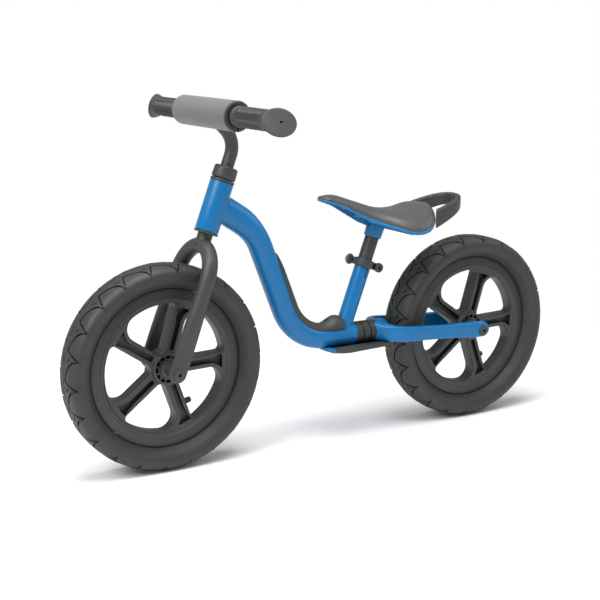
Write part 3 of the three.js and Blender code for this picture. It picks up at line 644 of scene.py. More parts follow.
def rear_frame():
    """Two arms spread from the main tube's end and run back to the axle, one each side of the wheel."""
    tip = REAR.x / MM
    tip_z = 154
    corners = [(-88, 7, MAIN_Z), (-95, 13, MAIN_Z), (-114, STAY_MIDDLE, 163),
               (tip + DROPOUT_R, STAY_MIDDLE, tip_z)]
    stations = bent(corners, [14, 30], spacing=7, bend_step=math.radians(8))
    for step in (4.0, 7.5, 10.0, 11.8, 12.7):
        stations.append((Vector((tip - step, STAY_MIDDLE, tip_z - step * 0.05)), stations[-1][1]))
    rings = []
    for at, way in stations:
        flat = Vector((way.x, way.y, 0)).normalized()
        across = Vector((flat.y, -flat.x, 0))
        root = 1 - smooth_step(at.y, 16, 42)
        back = smooth_step(-at.x, 205, 262)
        beyond = max(0.0, tip - at.x)
        end = math.sqrt(max(0.02, 1 - (beyond / DROPOUT_R) ** 2))
        half_tall = (12.6 - 1.4 * smooth_step(-at.x, 113, 185) + 1.9 * back + 2.2 * root) * end
        half_wide = STAY_HALF + 2.0 * root
        rings.append([at + across * a + Vector((0, 0, b))
                      for a, b in section(half_wide, half_tall, 5.0 - 2.4 * root, 40)])
    arm = loft(rings)
    collar = lathe(softened([(0, -113), (16.5, -113), (17.7, -105), (17.7, -90.6), (0, -90.6)],
                            [0, 3, 6, 1.6, 0], 4), "X")
    body = fused(arm, mirrored(arm), moved(collar, MAIN_LEVEL))
    tyre_room = moved(rod(TYRE_R + 6.5, -34, 34, "Y", 128), Matrix.Translation((tip, 0, FRONT.z / MM)))
    bore = moved(rod(14.8, -108, -80, "X"), MAIN_LEVEL)
    blended = melted(cut(body, tyre_room), 1.1, 5)
    hole = moved(rod(3.6, -70, 70), Matrix.Translation((tip, 0, FRONT.z / MM)))
    return cut(blended, bore, hole)


class BuildFrameTubes(bpy.types.Operator):
    """Welded steel tubes of the frame: main tube, head tube, seat tube and rear triangle"""
    bl_idname = "bike.frame_tubes"
    bl_label = "Frame Tubes"

    def execute(self, context):
        bead = context.scene.bike_sizes.weld_bead / MM
        paint = FINISHES["blue_paint"]
        head = ring(14.6, HEAD_R, HEAD_LOW, HEAD_HIGH, "Z", 0.9, 96)
        piece("main_tube_bent", main_tube(bead), ROW, paint, "frame", "blue_paint", "main_tube")
        piece("head_tube_turned", head, STEERING, paint, "frame", "blue_paint", "head_tube")
        piece("seat_tube_slotted", seat_tube(bead), SEATING, paint, "frame", "blue_paint", "seat_tube")
        piece("rear_frame_welded", rear_frame(), ROW, paint, "frame", "blue_paint",
              "rear_yoke", "stay_left", "stay_right")
        piece("tail_tube_core", moved(ring(12.5, 14.5, -104, -16, "X"), MAIN_LEVEL), ROW, paint, "frame",
              "blue_paint", "tail_tube")
        return {"FINISHED"}


# ---------------------------------------------------------------- bands, frame pad and footrest
def level_tube_room():
    """A tool that leaves room round the level part of the main tube."""
    return moved(rod(MAIN_R + 0.3, -130, 30, "X", 96), MAIN_LEVEL)


def frame_pad():
    """A moulded pad along the top of the main tube, rising to a hump against the seat tube."""
    stations = bent(in_plane(MAIN_CORNERS), MAIN_BENDS, spacing=4, bend_step=math.radians(4))
    thickness = [(-27, 11), (-22, 13.4), (-15, 14), (-7, 11), (0, 7), (10, 4.2), (24, 3.8), (45, 4.4),
                 (62, 4.8), (84, 4.8)]
    rings = []
    for at, way in stations:
        if not -27 <= at.x <= 110:
            continue
        up = Vector((0, 1, 0)).cross(way).normalized()
        up = up if up.z > 0 or up.x < 0 else -up
        tip = math.sqrt(max(0.0, 1 - (max(0.0, at.x - 76) / 34.5) ** 2))
        spread = math.radians(52) * (0.25 + 0.75 * tip)
        high = through(thickness, min(at.x, 84)) * min(1.0, 0.15 + 1.2 * tip)
        outer, inner = [], []
        for k in range(25):
            share = -1 + 2 * k / 24
            angle = share * spread
            swell = (1 - abs(share) ** 3.2) ** 0.6
            reach_out = MAIN_R + 0.35 + high * swell
            squeeze = 1 - 0.18 * smooth_step(high * swell, 4, 14)
            outer.append(at + Vector((0, 1, 0)) * reach_out * math.sin(angle) * squeeze
                         + up * reach_out * math.cos(angle))
            inner.append(at + Vector((0, 1, 0)) * (MAIN_R + 0.3) * math.sin(angle * 0.97)
                         + up * (MAIN_R + 0.3) * math.cos(angle * 0.97))
        rings.append(outer + inner[::-1])
    pad = loft(rings)
    seat = moved(rod(SEAT_TUBE_R + 0.8, -120, 60, "Z", 64), SEAT_IN_ROW)
    slot = slab(softened([(-4, -1.2), (4, -1.2), (4, 1.2), (-4, 1.2)], 1.0), 188, 210)
    return cut(pad, seat, slot)


def footrest_pad(ridge):
    """A rubber tread plate whose ridges run fore and aft."""
    plan = [(0, 18.8), (0, 34), (-8, 39.5), (-21, 42.4), (-94, 34), (-108, 28), (-112, 18.8)]
    outline = softened(plan, [1, 3, 6, 10, 14, 8, 2])
    plate = slab(outline, FOOT_LOW_Z, FOOT_TOP_Z, "Z", 1.3)
    pitch, first, count = 3.1, 15.0, 10
    ground = FOOT_TOP_Z - ridge
    profile = [Vector((first - 2, FOOT_LOW_Z - 3))]
    for k in range(count):
        for u in (0, 0.14, 0.28, 0.42, 0.56, 0.7, 0.85):
            lift = math.sin(min(1.0, u / 0.56) * math.pi) if u < 0.56 else 0.0
            profile.append(Vector((first + (k + u) * pitch, ground + ridge * 1.02 * lift ** 0.6)))
    profile.append(Vector((first + count * pitch + 2, ground)))
    profile.append(Vector((first + count * pitch + 2, FOOT_LOW_Z - 3)))
    board = loft([[(x, p.x, p.y) for p in profile] for x in (20, -130)])
    tongue = block(-111.4, -0.6, 9, 20, FOOT_TOP_Z - 3.2, ground)
    return fused(kept_inside(plate, board), cut(tongue, level_tube_room()))


def footrest_carrier():
    """The plate that joins the two footrest pads, with a lip across its front end."""
    plate = slab(softened([(-112, -18.4), (7.5, -18.4), (7.5, 18.4), (-112, 18.4)], 1, 3),
                 FOOT_LOW_Z, FOOT_TOP_Z - 3.5, "Z", 0.5)
    lip = softened([(8.5, -10), (8.5, 10), (5, 30), (2, 34.5), (0.4, 34), (0.4, -34), (2, -34.5), (5, -30)],
                   [3, 3, 3, 0.8, 0.4, 0.4, 0.8, 3], 3)
    return cut(fused(plate, slab(lip, FOOT_LOW_Z, FOOT_TOP_Z, "Z", 0.8)), level_tube_room())


class BuildFrameTrim(bpy.types.Operator):
    """Rubber bands, the pad on the main tube and the footrest under it"""
    bl_idname = "bike.frame_trim"
    bl_label = "Frame Trim"

    def execute(self, context):
        rubber = FINISHES["rubber"]
        for where in ("front", "middle", "rear"):
            low, high = reach(f"band_ring_{where}", ROW)
            outline = [(14.8, low.x), (MAIN_R - 0.5, low.x), (MAIN_R - 0.5, high.x), (14.8, high.x)]
            band = lathe(softened(outline, [0.3, 5.0, 5.0, 0.3], 8), "X", 96)
            piece(f"band_{where}", moved(band, MAIN_LEVEL), ROW, rubber, "frame", "rubber",
                  f"band_ring_{where}")
        piece("frame_pad_moulded", frame_pad(), ROW, rubber, "frame", "rubber", "frame_pad", crease=50)
        piece("footrest_carrier", footrest_carrier(), ROW, FINISHES["blue_plastic"], "frame", "blue_plastic",
              "footrest_base")
        left = footrest_pad(context.scene.bike_sizes.footrest_ridge / MM)
        piece("footrest_tread_right", mirrored(left), ROW, rubber, "frame", "rubber", "footrest_pad_right")
        piece("footrest_tread_left", left, ROW, rubber, "frame", "rubber", "footrest_pad_left")
        return {"FINISHED"}


# ---------------------------------------------------------------- seat clamp
def bolt_place(offset=0.0):
    return Matrix.Translation((CLAMP_BOLT_X, offset, CLAMP_MIDDLE))


def hexagon(across, low, high):
    """A six-sided tool along Y."""
    return rod(across / 2 / math.cos(math.pi / 6), low, high, "Y", 6)


class BuildSeatClamp(bpy.types.Operator):
    """Quick-release seat clamp: collar, skewer, barrel nut and lever"""
    bl_idname = "bike.seat_clamp"
    bl_label = "Seat Clamp"

    def execute(self, context):
        collar = ring(SEAT_TUBE_R + 0.35, 16.4, CLAMP_LOW, CLAMP_HIGH, "Z", 1.8, 96)
        ears = moved(ring(0.0, 5.9, -9, 9, "Y", 1.2), bolt_place())
        web = block(CLAMP_BOLT_X, -11, -8.9, 8.9, CLAMP_LOW + 0.4, CLAMP_HIGH - 0.4)
        clamp = melted(cut(fused(collar, ears, web), rod(SEAT_TUBE_R + 0.35, 0, 80, "Z", 96)), 0.45, 3)
        slit = block(-40, -5, -1.2, 1.2, CLAMP_LOW - 5, CLAMP_HIGH + 5)
        hole = moved(rod(2.9, -20, 20), bolt_place())
        piece("seat_clamp_cast", cut(clamp, slit, hole), SEATING, FINISHES["dark_paint"], "frame",
              "black_paint", "seat_clamp")
        skewer = ring(0.0, 2.5, -13, 12.5, "Y", 0.4, 32)
        piece("skewer", moved(skewer, bolt_place()), SEATING, FINISHES["steel"], "frame", "steel",
              "clamp_skewer")
        nut = lathe(softened([(0, 9.3), (6.8, 9.3), (7.5, 10.4), (7.5, 14.4), (6.4, 15.5), (0, 15.5)],
                             [0, 0.4, 0.6, 0.6, 0.8, 0]))
        nut = cut(nut, hexagon(5, 12.9, 20), rod(2.9, 0, 12.7))
        piece("barrel_nut", moved(nut, bolt_place()), SEATING, FINISHES["dark_paint"], "frame", "black_paint",
              "clamp_barrel_nut")
        plan = [(-27, -13), (-20, -9.6), (-13, -13), (-8, -20), (4, -24), (16, -23), (17, -28), (4, -30.5),
                (-14, -28), (-25, -21)]
        arm = slab(softened(plan, 4), CLAMP_MIDDLE - 5.5, CLAMP_MIDDLE + 5.5, "Z", 1.5)
        profile = [(8.6 * math.sin(t), 8.6 * math.cos(t)) for t in [math.pi * k / 16 for k in range(17)]]
        paddle = moved(lathe(profile, "Z", 40), Matrix.Translation((9.5, -26.5, CLAMP_MIDDLE))
                       @ Matrix.Diagonal((0.95, 0.42, 1, 1)))
        slot = moved(rod(9.8, -2.8, 2.8, "Z"), bolt_place(-18.5))
        lever = cut(melted(together(arm, paddle), 0.5, 4), slot)
        piece("quick_release_lever", lever, SEATING, FINISHES["lever"], "clamp_lever", "grey_lever",
              "clamp_lever")
        return {"FINISHED"}


# ---------------------------------------------------------------- seat
def saddle_half(x):
    """Half width of the saddle at x, closing round at the nose and the tail."""
    nose = math.sqrt(max(0.0, 1 - (max(0.0, x - SADDLE_NOSE + 9) / 9) ** 2))
    tail = math.sqrt(max(0.0, 1 - (max(0.0, SADDLE_REAR + 6 - x) / 6) ** 2))
    return max(0.05, through(SADDLE_HALF, x) * nose * tail)


def saddle_layer(upper, lower, inset=0.0, rows=64, columns=40):
    """A closed crowned solid between two surfaces: upper(x, across) and lower(x, across)."""
    rings = []
    for i in range(rows + 1):
        t = i / rows
        share = 0.5 - 0.5 * math.cos(math.pi * (0.35 * t + 0.65 * (0.5 - 0.5 * math.cos(math.pi * t))))
        x = SADDLE_REAR + inset + (SADDLE_NOSE - SADDLE_REAR - 2 * inset) * share
        half = max(0.05, saddle_half(x) - inset)
        across = [math.sin(math.pi / 2 * (-1 + 2 * k / columns)) for k in range(columns + 1)]
        top = [Vector((x, half * a, upper(x, a))) for a in across]
        low = [Vector((x, half * a, lower(x, a))) for a in reversed(across[1:-1])]
        rings.append(top + low)
    return loft(rings)


def crown(a):
    return max(0.0, 1 - abs(a) ** 2.4) ** 0.62


def saddle_surface(drop, lift):
    """Height of a layer: the crown lowered by drop in the middle, its edge raised by lift."""
    def height(x, a):
        top, lip = through(SADDLE_TOP, x), through(SADDLE_EDGE, x)
        down = min(drop, drop / 9.6 * (0.5 * (top - lip) + 1))
        return lip + lift + (top - down - lip - lift) * crown(a)
    return height


def saddle_shell():
    """Moulded base: a lipped plate under the cushion, ribs beneath it and the seat post's socket."""
    plate = saddle_layer(saddle_surface(10, -0.3), saddle_surface(13.4, -2.8))
    room = saddle_layer(saddle_surface(11, -2.0), lambda x, a: through(SADDLE_EDGE, x) - 3.0, 2.2)
    lattice = []
    for y in (-9, 9):
        lattice.append(block(SADDLE_REAR + 12, 4, y - 0.9, y + 0.9, 300, 400))
    for k in range(7):
        x = SADDLE_REAR + 24 + k * 24
        lattice.append(block(x - 0.9, x + 0.9, -64, 64, 300, 400))
    ribs = kept_inside(fused(*lattice), room)
    above = saddle_layer(lambda x, a: through(SADDLE_TOP, x) + 60, saddle_surface(11, -2.0))
    socket = lathe(softened([(0, 80), (13.6, 80), (14.4, 98), (15.6, 116), (0, 116)], [0, 1, 4, 0, 0]),
                   "Z", 64)
    bore = moved(rod(POST_R + 0.4, 70, POST_HIGH + 0.6, "Z"), SEAT_IN_ROW)
    fin = slab([Vector(p) for p in ((-4, 371), (-56, 341), (-76, 333), (-104, 331), (-104, 350), (-60, 365),
                                    (-20, 376))], -1.2, 1.2, "Y")
    return together(plate, ribs, cut(fused(moved(socket, SEAT_IN_ROW), fin), above, bore))


def carry_handle():
    """A moulded strap round the back of the saddle, with finger grooves on its inner face."""
    front, depth, half, thick = -172, 75, 46, 10
    top, rise, tall_front, tall_rear = 356, 22, 30, 19
    steps = 96
    route = []
    for i in range(steps + 1):
        t = math.pi * (-0.5 + i / steps)
        bend = [math.copysign(abs(v) ** 0.82, v) for v in (math.cos(t), math.sin(t))]
        route.append(Vector((front - (depth - thick / 2) * bend[0], (half - thick / 2) * bend[1], 0)))
    made = []
    for i, at in enumerate(route):
        way = (route[min(i + 1, steps)] - route[max(i - 1, 0)]).normalized()
        out = Vector((way.y, -way.x, 0))
        out = -out if out.x > 0 else out
        back = (front - at.x) / depth
        tall = tall_front + (tall_rear - tall_front) * back
        lift = top + rise * back - tall / 2
        rear = smooth_step(-at.x, 222, 236)
        groove = rear * 2.4 * (0.5 + 0.5 * math.cos(2 * math.pi * at.y / 7.6 + math.pi)) * (abs(at.y) < 15.2)
        shape = []
        for a, b in section(thick / 2, tall / 2, 4.5, 40):
            inner = groove if a < 0 else 0.0
            shape.append(at + out * (a + inner) + Vector((0, 0, lift + b)))
        made.append(shape)
    strap = loft(made)
    count = 40
    plan = []
    for k in range(count + 1):
        x = SADDLE_REAR - 1.0 + 52 * k / count
        plan.append(Vector((x, saddle_half(max(x + 0.9, SADDLE_REAR + 0.2)) + 0.9)))
    outline = plan + [Vector((p.x, -p.y)) for p in reversed(plan)]
    return cut(strap, slab(outline, 300, 400))


class BuildSeat(bpy.types.Operator):
    """Seat post, saddle base, cushion and carry handle"""
    bl_idname = "bike.seat"
    bl_label = "Seat"

    def execute(self, context):
        tube = ring(POST_R - 1.6, POST_R, POST_LOW, POST_HIGH, "Z", 0.6, 64)
        piece("seat_post_painted", tube, SEATING, FINISHES["dark_paint"], "seat", "black_paint", "seat_post")
        piece("saddle_base", saddle_shell(), ROW, FINISHES["blue_plastic"], "seat", "blue_plastic",
              "saddle_shell")
        cushion = saddle_layer(saddle_surface(0, 2.6), saddle_surface(9.6, -0.2), 1.3, 96, 56)
        piece("saddle_top", cushion, ROW, FINISHES["saddle"], "seat", "cushion", "saddle_cushion", crease=60)
        piece("carry_handle_moulded", carry_handle(), ROW, FINISHES["dark_plastic"], "seat", "black_plastic",
              "carry_handle", crease=50)
        return {"FINISHED"}


# ---------------------------------------------------------------- fork and headset
def fork_blades():
    """One tube bent into a U, pressed flat at its two tips round the axle."""
    rings = []
    straight = FORK_BEND_S + FORK_TIP_R
    drop = [straight * math.sin(math.pi / 2 * k / 30) for k in range(31)]
    path = [(FORK_HALF, FORK_BEND_S - d) for d in reversed(drop)]
    path += [(FORK_HALF * math.cos(a), FORK_BEND_S + FORK_HALF * math.sin(a))
             for a in [math.pi * k / 40 for k in range(1, 40)]]
    path += [(-FORK_HALF, FORK_BEND_S - d) for d in drop]
    for i, (y, s) in enumerate(path):
        flat = smooth_step(FORK_BEND_S - s, 30, FORK_BEND_S - 12) if s < FORK_BEND_S else 0.0
        close = math.sqrt(max(0.0015, 1 - (min(0.0, s) / FORK_TIP_R) ** 2))
        wide = (FORK_R + (FORK_TIP_R - FORK_R) * flat) * close
        deep = (FORK_R + (FORK_TIP_HALF - FORK_R) * flat) * (0.45 + 0.55 * close)
        if s > FORK_BEND_S:
            out = Vector((0, y, s - FORK_BEND_S)).normalized()
        else:
            out = Vector((0, math.copysign(1, y), 0))
        centre = Vector((0, y + out.y * flat, s))
        rings.append([centre + Vector((1, 0, 0)) * a + out * b
                      for a, b in section(wide, deep, 2.0 + 2.2 * flat, 48)])
    return cut(loft(rings), rod(3.5, -80, 80, "Y", 32))


def steerer():
    """The fork's upper tube, filleted on to the crown of the blades."""
    def foot(a, b, lift):
        across = math.sqrt(max(0.0, FORK_R ** 2 - a * a))
        return Vector((a, b, FORK_BEND_S + math.sqrt((FORK_HALF + across + lift) ** 2 - b * b)))

    rings = weld(foot, section(STEERER_R, STEERER_R, 2.0, 48), 2.4)[::-1]
    top = reach("steerer", STEERING)[1].z
    for height in (199.5, 202, 250, top - 0.8, top):
        rings.append([Vector((a, b, height)) for a, b in section(STEERER_R, STEERER_R, 2.0, 48)])
    return cut(loft(rings), rod(STEM_R + 0.3, 201, top + 5, "Z"))


COLLAR_TURN = Matrix.Rotation(math.radians(58), 4, "Z")
COLLAR_BOLT = COLLAR_TURN @ Matrix.Translation((-21.5, 0, 293.5))


def stem_clamp():
    low, high = (corner.z for corner in reach("stem_clamp", STEERING))
    outline = softened([(STEERER_R + 0.35, low), (17.4, low), (17.8, low + 3), (17.2, high - 2), (15.4, high),
                        (STEERER_R + 0.35, high)], [0.3, 0.8, 1, 1.2, 1, 0.3])
    collar = lathe(outline, "Z", 96)
    ears = moved(block(-25.5, -12, -7.6, 7.6, low + 2.5, high - 3.5), COLLAR_TURN)
    body = melted(cut(fused(collar, ears), rod(STEERER_R + 0.35, low - 9, high + 9, "Z", 96)), 0.5, 3)
    slit = moved(block(-40, -5, -1, 1, low - 5, high + 5), COLLAR_TURN)
    return cut(body, slit, moved(rod(2.9, -20, 20), COLLAR_BOLT))


class BuildFork(bpy.types.Operator):
    """Fork, headset cups, bearings and the clamp that holds the stem"""
    bl_idname = "bike.fork"
    bl_label = "Fork"

    def execute(self, context):
        paint = FINISHES["dark_paint"]
        piece("fork_blades", fork_blades(), STEERING, paint, "fork", "black_paint",
              "fork_crown", "fork_leg_left", "fork_leg_right")
        piece("steerer_tube", steerer(), STEERING, paint, "fork", "black_paint", "steerer")
        for where, sleeve in (("lower", 1), ("upper", -1)):
            low, high = reach(f"headset_cup_{where}", STEERING)
            lip = 3.7
            seat = low.z + lip if sleeve > 0 else high.z - lip
            face, far = (low.z, high.z) if sleeve > 0 else (high.z, low.z)
            corners = [(STEERER_R + 0.6, face), (HEAD_R + 0.1, face), (HEAD_R + 0.5, seat), (14.3, seat),
                       (14.3, far), (13.5, far), (13.5, seat), (STEERER_R + 0.6, seat)]
            outline = softened(corners, [0.3, 0.9, 0.5, 0.2, 0.2, 0.2, 0.2, 0.2])
            piece(f"headset_{where}", lathe(outline, "Z", 96), STEERING, FINISHES["dark_plastic"], "frame",
                  "black_plastic", f"headset_cup_{where}")
            race_low, race_high = (corner.z for corner in reach(f"headset_bearing_{where}", STEERING))
            race = ring(STEERER_R + 0.3, 13.2, race_low, race_high, "Z", 0.6)
            piece(f"bearing_ring_{where}", race, STEERING, FINISHES["steel"], "frame", "steel",
                  f"headset_bearing_{where}")
        piece("stem_clamp_cast", stem_clamp(), STEERING, paint, "fork", "black_paint", "stem_clamp")
        screw = fused(ring(0.0, 2.5, -8, 9, "Y", 0.3, 32), ring(0.0, 4.4, 8.3, 12.5, "Y", 0.8, 48))
        screw = moved(cut(screw, hexagon(4, 10.4, 20)), COLLAR_BOLT)
        piece("stem_clamp_screw", screw, STEERING, FINISHES["black_steel"], "fork", "steel",
              "stem_clamp_bolt")
        return {"FINISHED"}


# ---------------------------------------------------------------- handlebar
STEM_CORNERS = [(0, 238), (0, 342.7), (BAR_X, BAR_S)]
BAR_PLACE = Matrix.Translation((BAR_X, 0, BAR_S))


def stem_tool(radius):
    stations = bent(in_plane(STEM_CORNERS), [35], spacing=10)
    return sweep(stations, lambda i: section(radius, radius, 2.0, 48))


def bar_pad():
    """Foam roll split along its underside to go over the bar, with its cover a separate layer."""
    bore = BAR_R + 0.6
    core = softened([(bore, -PAD_HALF), (20.9, -PAD_HALF), (20.9, PAD_HALF), (bore, PAD_HALF)],
                    [1.5, 2, 2, 1.5])
    cover = softened([(20.95, 1.2 - PAD_HALF), (21.5, 2.0 - PAD_HALF), (21.5, PAD_HALF - 2.0),
                      (20.95, PAD_HALF - 1.2)], 0.25)
    slit_plan = softened([(-1.3, -30), (1.3, -30), (1.3, -6), (-1.3, -6)], 0.5)
    made = []
    for outline in (core, cover):
        slit = slab(slit_plan, -PAD_HALF - 5, PAD_HALF + 5, "Y")
        slit = moved(slit, Matrix.Rotation(math.radians(20), 4, "Y"))
        roll = cut(lathe(outline, "Y", 128), slit)
        made.append(cut(moved(roll, BAR_PLACE), stem_tool(STEM_R + 0.6)))
    return made


def grip(rib):
    """Moulded grip: rows of chevron ribs, flaring to a wide oblique end."""
    start, last, flat_at = 84.0, 212, 188.0
    slant, slant_way = math.tan(math.radians(42)), math.radians(22)
    profile = [(start, 14.6), (87, 15.1), (91, 13.6), (120, 13.3), (158, 13.4), (170, 14.8), (184, 18.2),
               (198, 20.2), (last, 20.8)]
    rows, sides = 190, 108
    rings = [[] for _ in range(rows + 1)]
    ends = []
    for k in range(sides):
        angle = 2 * math.pi * k / sides
        end = flat_at
        for _ in range(12):
            end = flat_at - slant * through(profile, min(end, last)) * math.cos(angle - slant_way) * 0.92
        ends.append(end)
        for i in range(rows + 1):
            y = start + (end - start) * i / rows
            radius = through(profile, min(y, last))
            zigzag = abs((angle / math.pi * 2.5) % 1 - 0.5) * 2
            phase = ((y - 96) / 7.5 + zigzag * 0.75) % 1
            fade = smooth_step(y, 95, 99) * (1 - smooth_step(y, 158, 165))
            ridge = math.sin(math.pi * min(1.0, phase / 0.62)) ** 0.8 if phase < 0.62 else 0.0
            apart = 1 - smooth_step(zigzag, 0.72, 0.92)
            radius += rib * (ridge * apart - 0.35) * fade
            radius -= 1.6 * smooth_step(y, end - 2.2, end) ** 2 + 0.8 * (1 - smooth_step(y, start, start + 1))
            rings[i].append(Vector((radius * math.cos(angle), y, radius * math.sin(angle))))
    grip_body = loft(rings)
    bore = rod(BAR_R + 0.3, 80, 176.4)
    vent = moved(rod(1.5, 170, 230, "Y", 24), Matrix.Translation((-4, 0, 0)))
    made = moved(cut(grip_body, bore, vent), Matrix.Rotation(HEAD_LEAN, 4, "Y"))
    return moved(made, BAR_PLACE)


class BuildHandlebar(bpy.types.Operator):
    """Stem, bar, bar pad and grips"""
    bl_idname = "bike.handlebar"
    bl_label = "Handlebar"

    def execute(self, context):
        paint = FINISHES["dark_paint"]
        stem = cut(stem_tool(STEM_R), moved(rod(BAR_R + 0.15, -40, 40), BAR_PLACE), rod(8.0, 230, 330, "Z"))
        piece("stem_bent", stem, STEERING, paint, "handlebar", "black_paint", "handlebar_stem", "stem_quill")
        bar_low, bar_high = (corner.y for corner in reach("handlebar_bar", STEERING))
        bar = ring(BAR_R - 1.6, BAR_R, bar_low, bar_high, "Y", 0.5, 64)
        piece("bar_tube", moved(bar, BAR_PLACE), STEERING, paint, "handlebar", "black_paint", "handlebar_bar")
        core, cover = bar_pad()
        piece("bar_pad_foam", core, STEERING, FINISHES["rubber"], "handlebar", "rubber", "bar_pad")
        piece("bar_pad_cover", cover, STEERING, FINISHES["cover"], "handlebar", "foam")
        left = grip(context.scene.bike_sizes.grip_rib / MM)
        piece("grip_moulded_right", mirrored(left), STEERING, FINISHES["rubber"], "handlebar", "rubber",
              "grip_right", crease=28)
        piece("grip_moulded_left", left, STEERING, FINISHES["rubber"], "handlebar", "rubber", "grip_left",
              crease=28)
        return {"FINISHED"}


# ---------------------------------------------------------------- wheels
def tyre(groove, rise, blocks):
    """Foamed tyre: smooth walls, and tread blocks edged by a scalloped groove."""
    profile = softened([(BEAD_R, BEAD_HALF), (119.5, 16), (126.5, 25.8), (134.5, 29.9), (142.5, 29.6),
                        (148.6, 24.0), (151.4, 14), (TYRE_R, 0)], 12, 6, closed=False)
    lengths = [0.0]
    for a, b in zip(profile, profile[1:]):
        lengths.append(lengths[-1] + (b - a).length)
    whole = lengths[-1]

    def at(v):
        """Point and outward normal of the half section at that length from the bead."""
        i = max(k for k in range(len(lengths) - 1) if lengths[k] <= v + 1e-9)
        share = (v - lengths[i]) / (lengths[i + 1] - lengths[i])
        way = (profile[i + 1] - profile[i]).normalized()
        return profile[i].lerp(profile[i + 1], min(1.0, share)), Vector((-way.y, way.x))

    cusp, shoulder, cusp_at = whole * 0.53, whole - 5.0, 0.73
    shares = [0, 0.08, 0.16, 0.25, 0.34, 0.43, 0.51, 0.58, 0.63, 0.67, 0.7, 0.72, 0.735, 0.75, 0.775, 0.8,
              0.83, 0.86, 0.89, 0.92, 0.95, 0.975]
    sipe = ((0.2, 0), (0.4, 0), (0.5, 0), (0.54, -1), (0.6, -1), (0.64, 0), (0.82, 0), (1.0, 0))

    def groove_at(f):
        """How far from the bead the groove's centre runs, at a share of one tread block."""
        f = f % 1
        if f < cusp_at:
            return shoulder - (shoulder - cusp) * (1 - math.sqrt(max(0.0, 1 - (f / cusp_at) ** 1.6)))
        return cusp + (shoulder - cusp) * ((f - cusp_at) / (1 - cusp_at)) ** 1.25

    pitch = 2 * math.pi / blocks
    columns = []
    for b in range(blocks):
        for f in shares:
            column = []
            for side, shift in ((1, 0.0), (-1, 0.5)):
                phase = (f + shift) % 1
                v = groove_at(phase)
                slope = (groove_at(phase + 0.01) - groove_at(phase - 0.01)) / (0.02 * pitch * TYRE_R)
                wide = min(3.0, 1.5 * math.sqrt(1 + slope * slope))
                rows = [(v * k / 14 if k else 0.0, 0.0) for k in range(13)]
                rows += [(v - wide, 0.0), (v - wide * 0.6, -groove), (v, -groove * 1.1),
                         (v + wide * 0.6, -groove), (v + wide, rise)]
                left = whole - 1.2 - v - wide
                dash = smooth_step(phase, 0.64, 0.67) * (1 - smooth_step(phase, 0.78, 0.81))
                for share, deep in sipe:
                    rows.append((v + wide + left * share, rise + deep * dash * (groove + rise)))
                rows.append((whole - 0.8, rise - 0.8))
                rows.append((whole, rise - 0.8))
                half = []
                for distance, lift in rows:
                    point, normal = at(max(0.0, min(distance, whole)))
                    fade = smooth_step(distance, 1.0, 4.0)
                    radius = point.x + normal.x * lift * fade
                    half.append((min(radius, TYRE_R), side * (point.y + normal.y * lift * fade)))
                column.append(half)
            angle = (b + f) * pitch
            section_points = column[0] + column[1][-2::-1]
            columns.append([Vector((r * math.cos(angle), y, r * math.sin(angle))) for r, y in section_points])
    return loft(columns, looped=True)


def window(spread):
    """Outline of one opening between two spokes, about the bisector on +X, grown by spread."""
    gap, apex, near, far = SPOKE_HALF, 9.5, SPOKE_FILLET, 6.0
    lean = math.pi / SPOKES
    outline = arc(((gap + apex) / math.sin(lean), 0), apex + spread, math.pi / 2 + lean,
                  1.5 * math.pi - lean, 12)
    corners = []
    for hand, fillet in ((-1, near), (1, far)):
        along = math.sqrt((RIM_IN_R - fillet) ** 2 - (gap + fillet) ** 2)
        angle = hand * lean
        corners.append(Vector((along * math.cos(angle) + hand * (gap + fillet) * math.sin(angle),
                               along * math.sin(angle) - hand * (gap + fillet) * math.cos(angle))))
    low, high = corners
    low_way, high_way = math.atan2(low.y, low.x), math.atan2(high.y, high.x)
    outline += arc(low, near + spread, -math.pi / 2 - lean, low_way, 12)
    outline += arc((0, 0), RIM_IN_R + spread, low_way, high_way, 20)[1:-1]
    outline += arc(high, far + spread, high_way, math.pi / 2 + lean, 8)
    return outline


def window_tool(angle, soft=2.4):
    """Cuts one opening through the web and rounds its two rims."""
    rows = []
    for k in range(5):
        turn = math.pi / 2 * k / 4
        rows.append((WEB_HALF - soft * (1 - math.sin(turn)), soft * (1 - math.cos(turn))))
    rows.append((BAND_HALF + 5, soft))
    rows = [(-y, spread) for y, spread in reversed(rows)] + rows
    c, s = math.cos(angle), math.sin(angle)
    return loft([[Vector((p.x * c - p.y * s, y, p.x * s + p.y * c)) for p in window(spread)]
                 for y, spread in rows])


def pocket_tool(angle, side):
    """Sinks the channel along one face of a spoke, between its two edge ribs."""
    wall, depth = 6.2, 9.0
    half = SPOKE_HALF - wall
    fillet_y = SPOKE_HALF + SPOKE_FILLET
    fillet_x = math.sqrt((RIM_IN_R - SPOKE_FILLET) ** 2 - fillet_y ** 2)
    corners = [(27, -half), (68, -half), (86, -7), (89.5, -9), (90.5, 0), (89.6, 12)]
    outline = [Vector(corner) for corner in corners]
    outline += arc((fillet_x, fillet_y), SPOKE_FILLET + wall, math.radians(-38), math.radians(-90), 8)
    outline.append(Vector((27, half)))
    outline = softened(outline, [2, 8, 2, 3, 0, 2] + [0] * 9 + [2], 3)
    c, s = math.cos(angle), math.sin(angle)
    turn = Matrix(((c, 0, -s, 0), (0, 1, 0, 0), (s, 0, c, 0), (0, 0, 0, 1)))
    tool = moved(slab(outline, WEB_HALF - depth, WEB_HALF + 1.5, "Y", 0.9), turn)
    if side > 0:
        return tool
    other = mirrored(tool)
    bpy.data.objects.remove(tool)
    return other


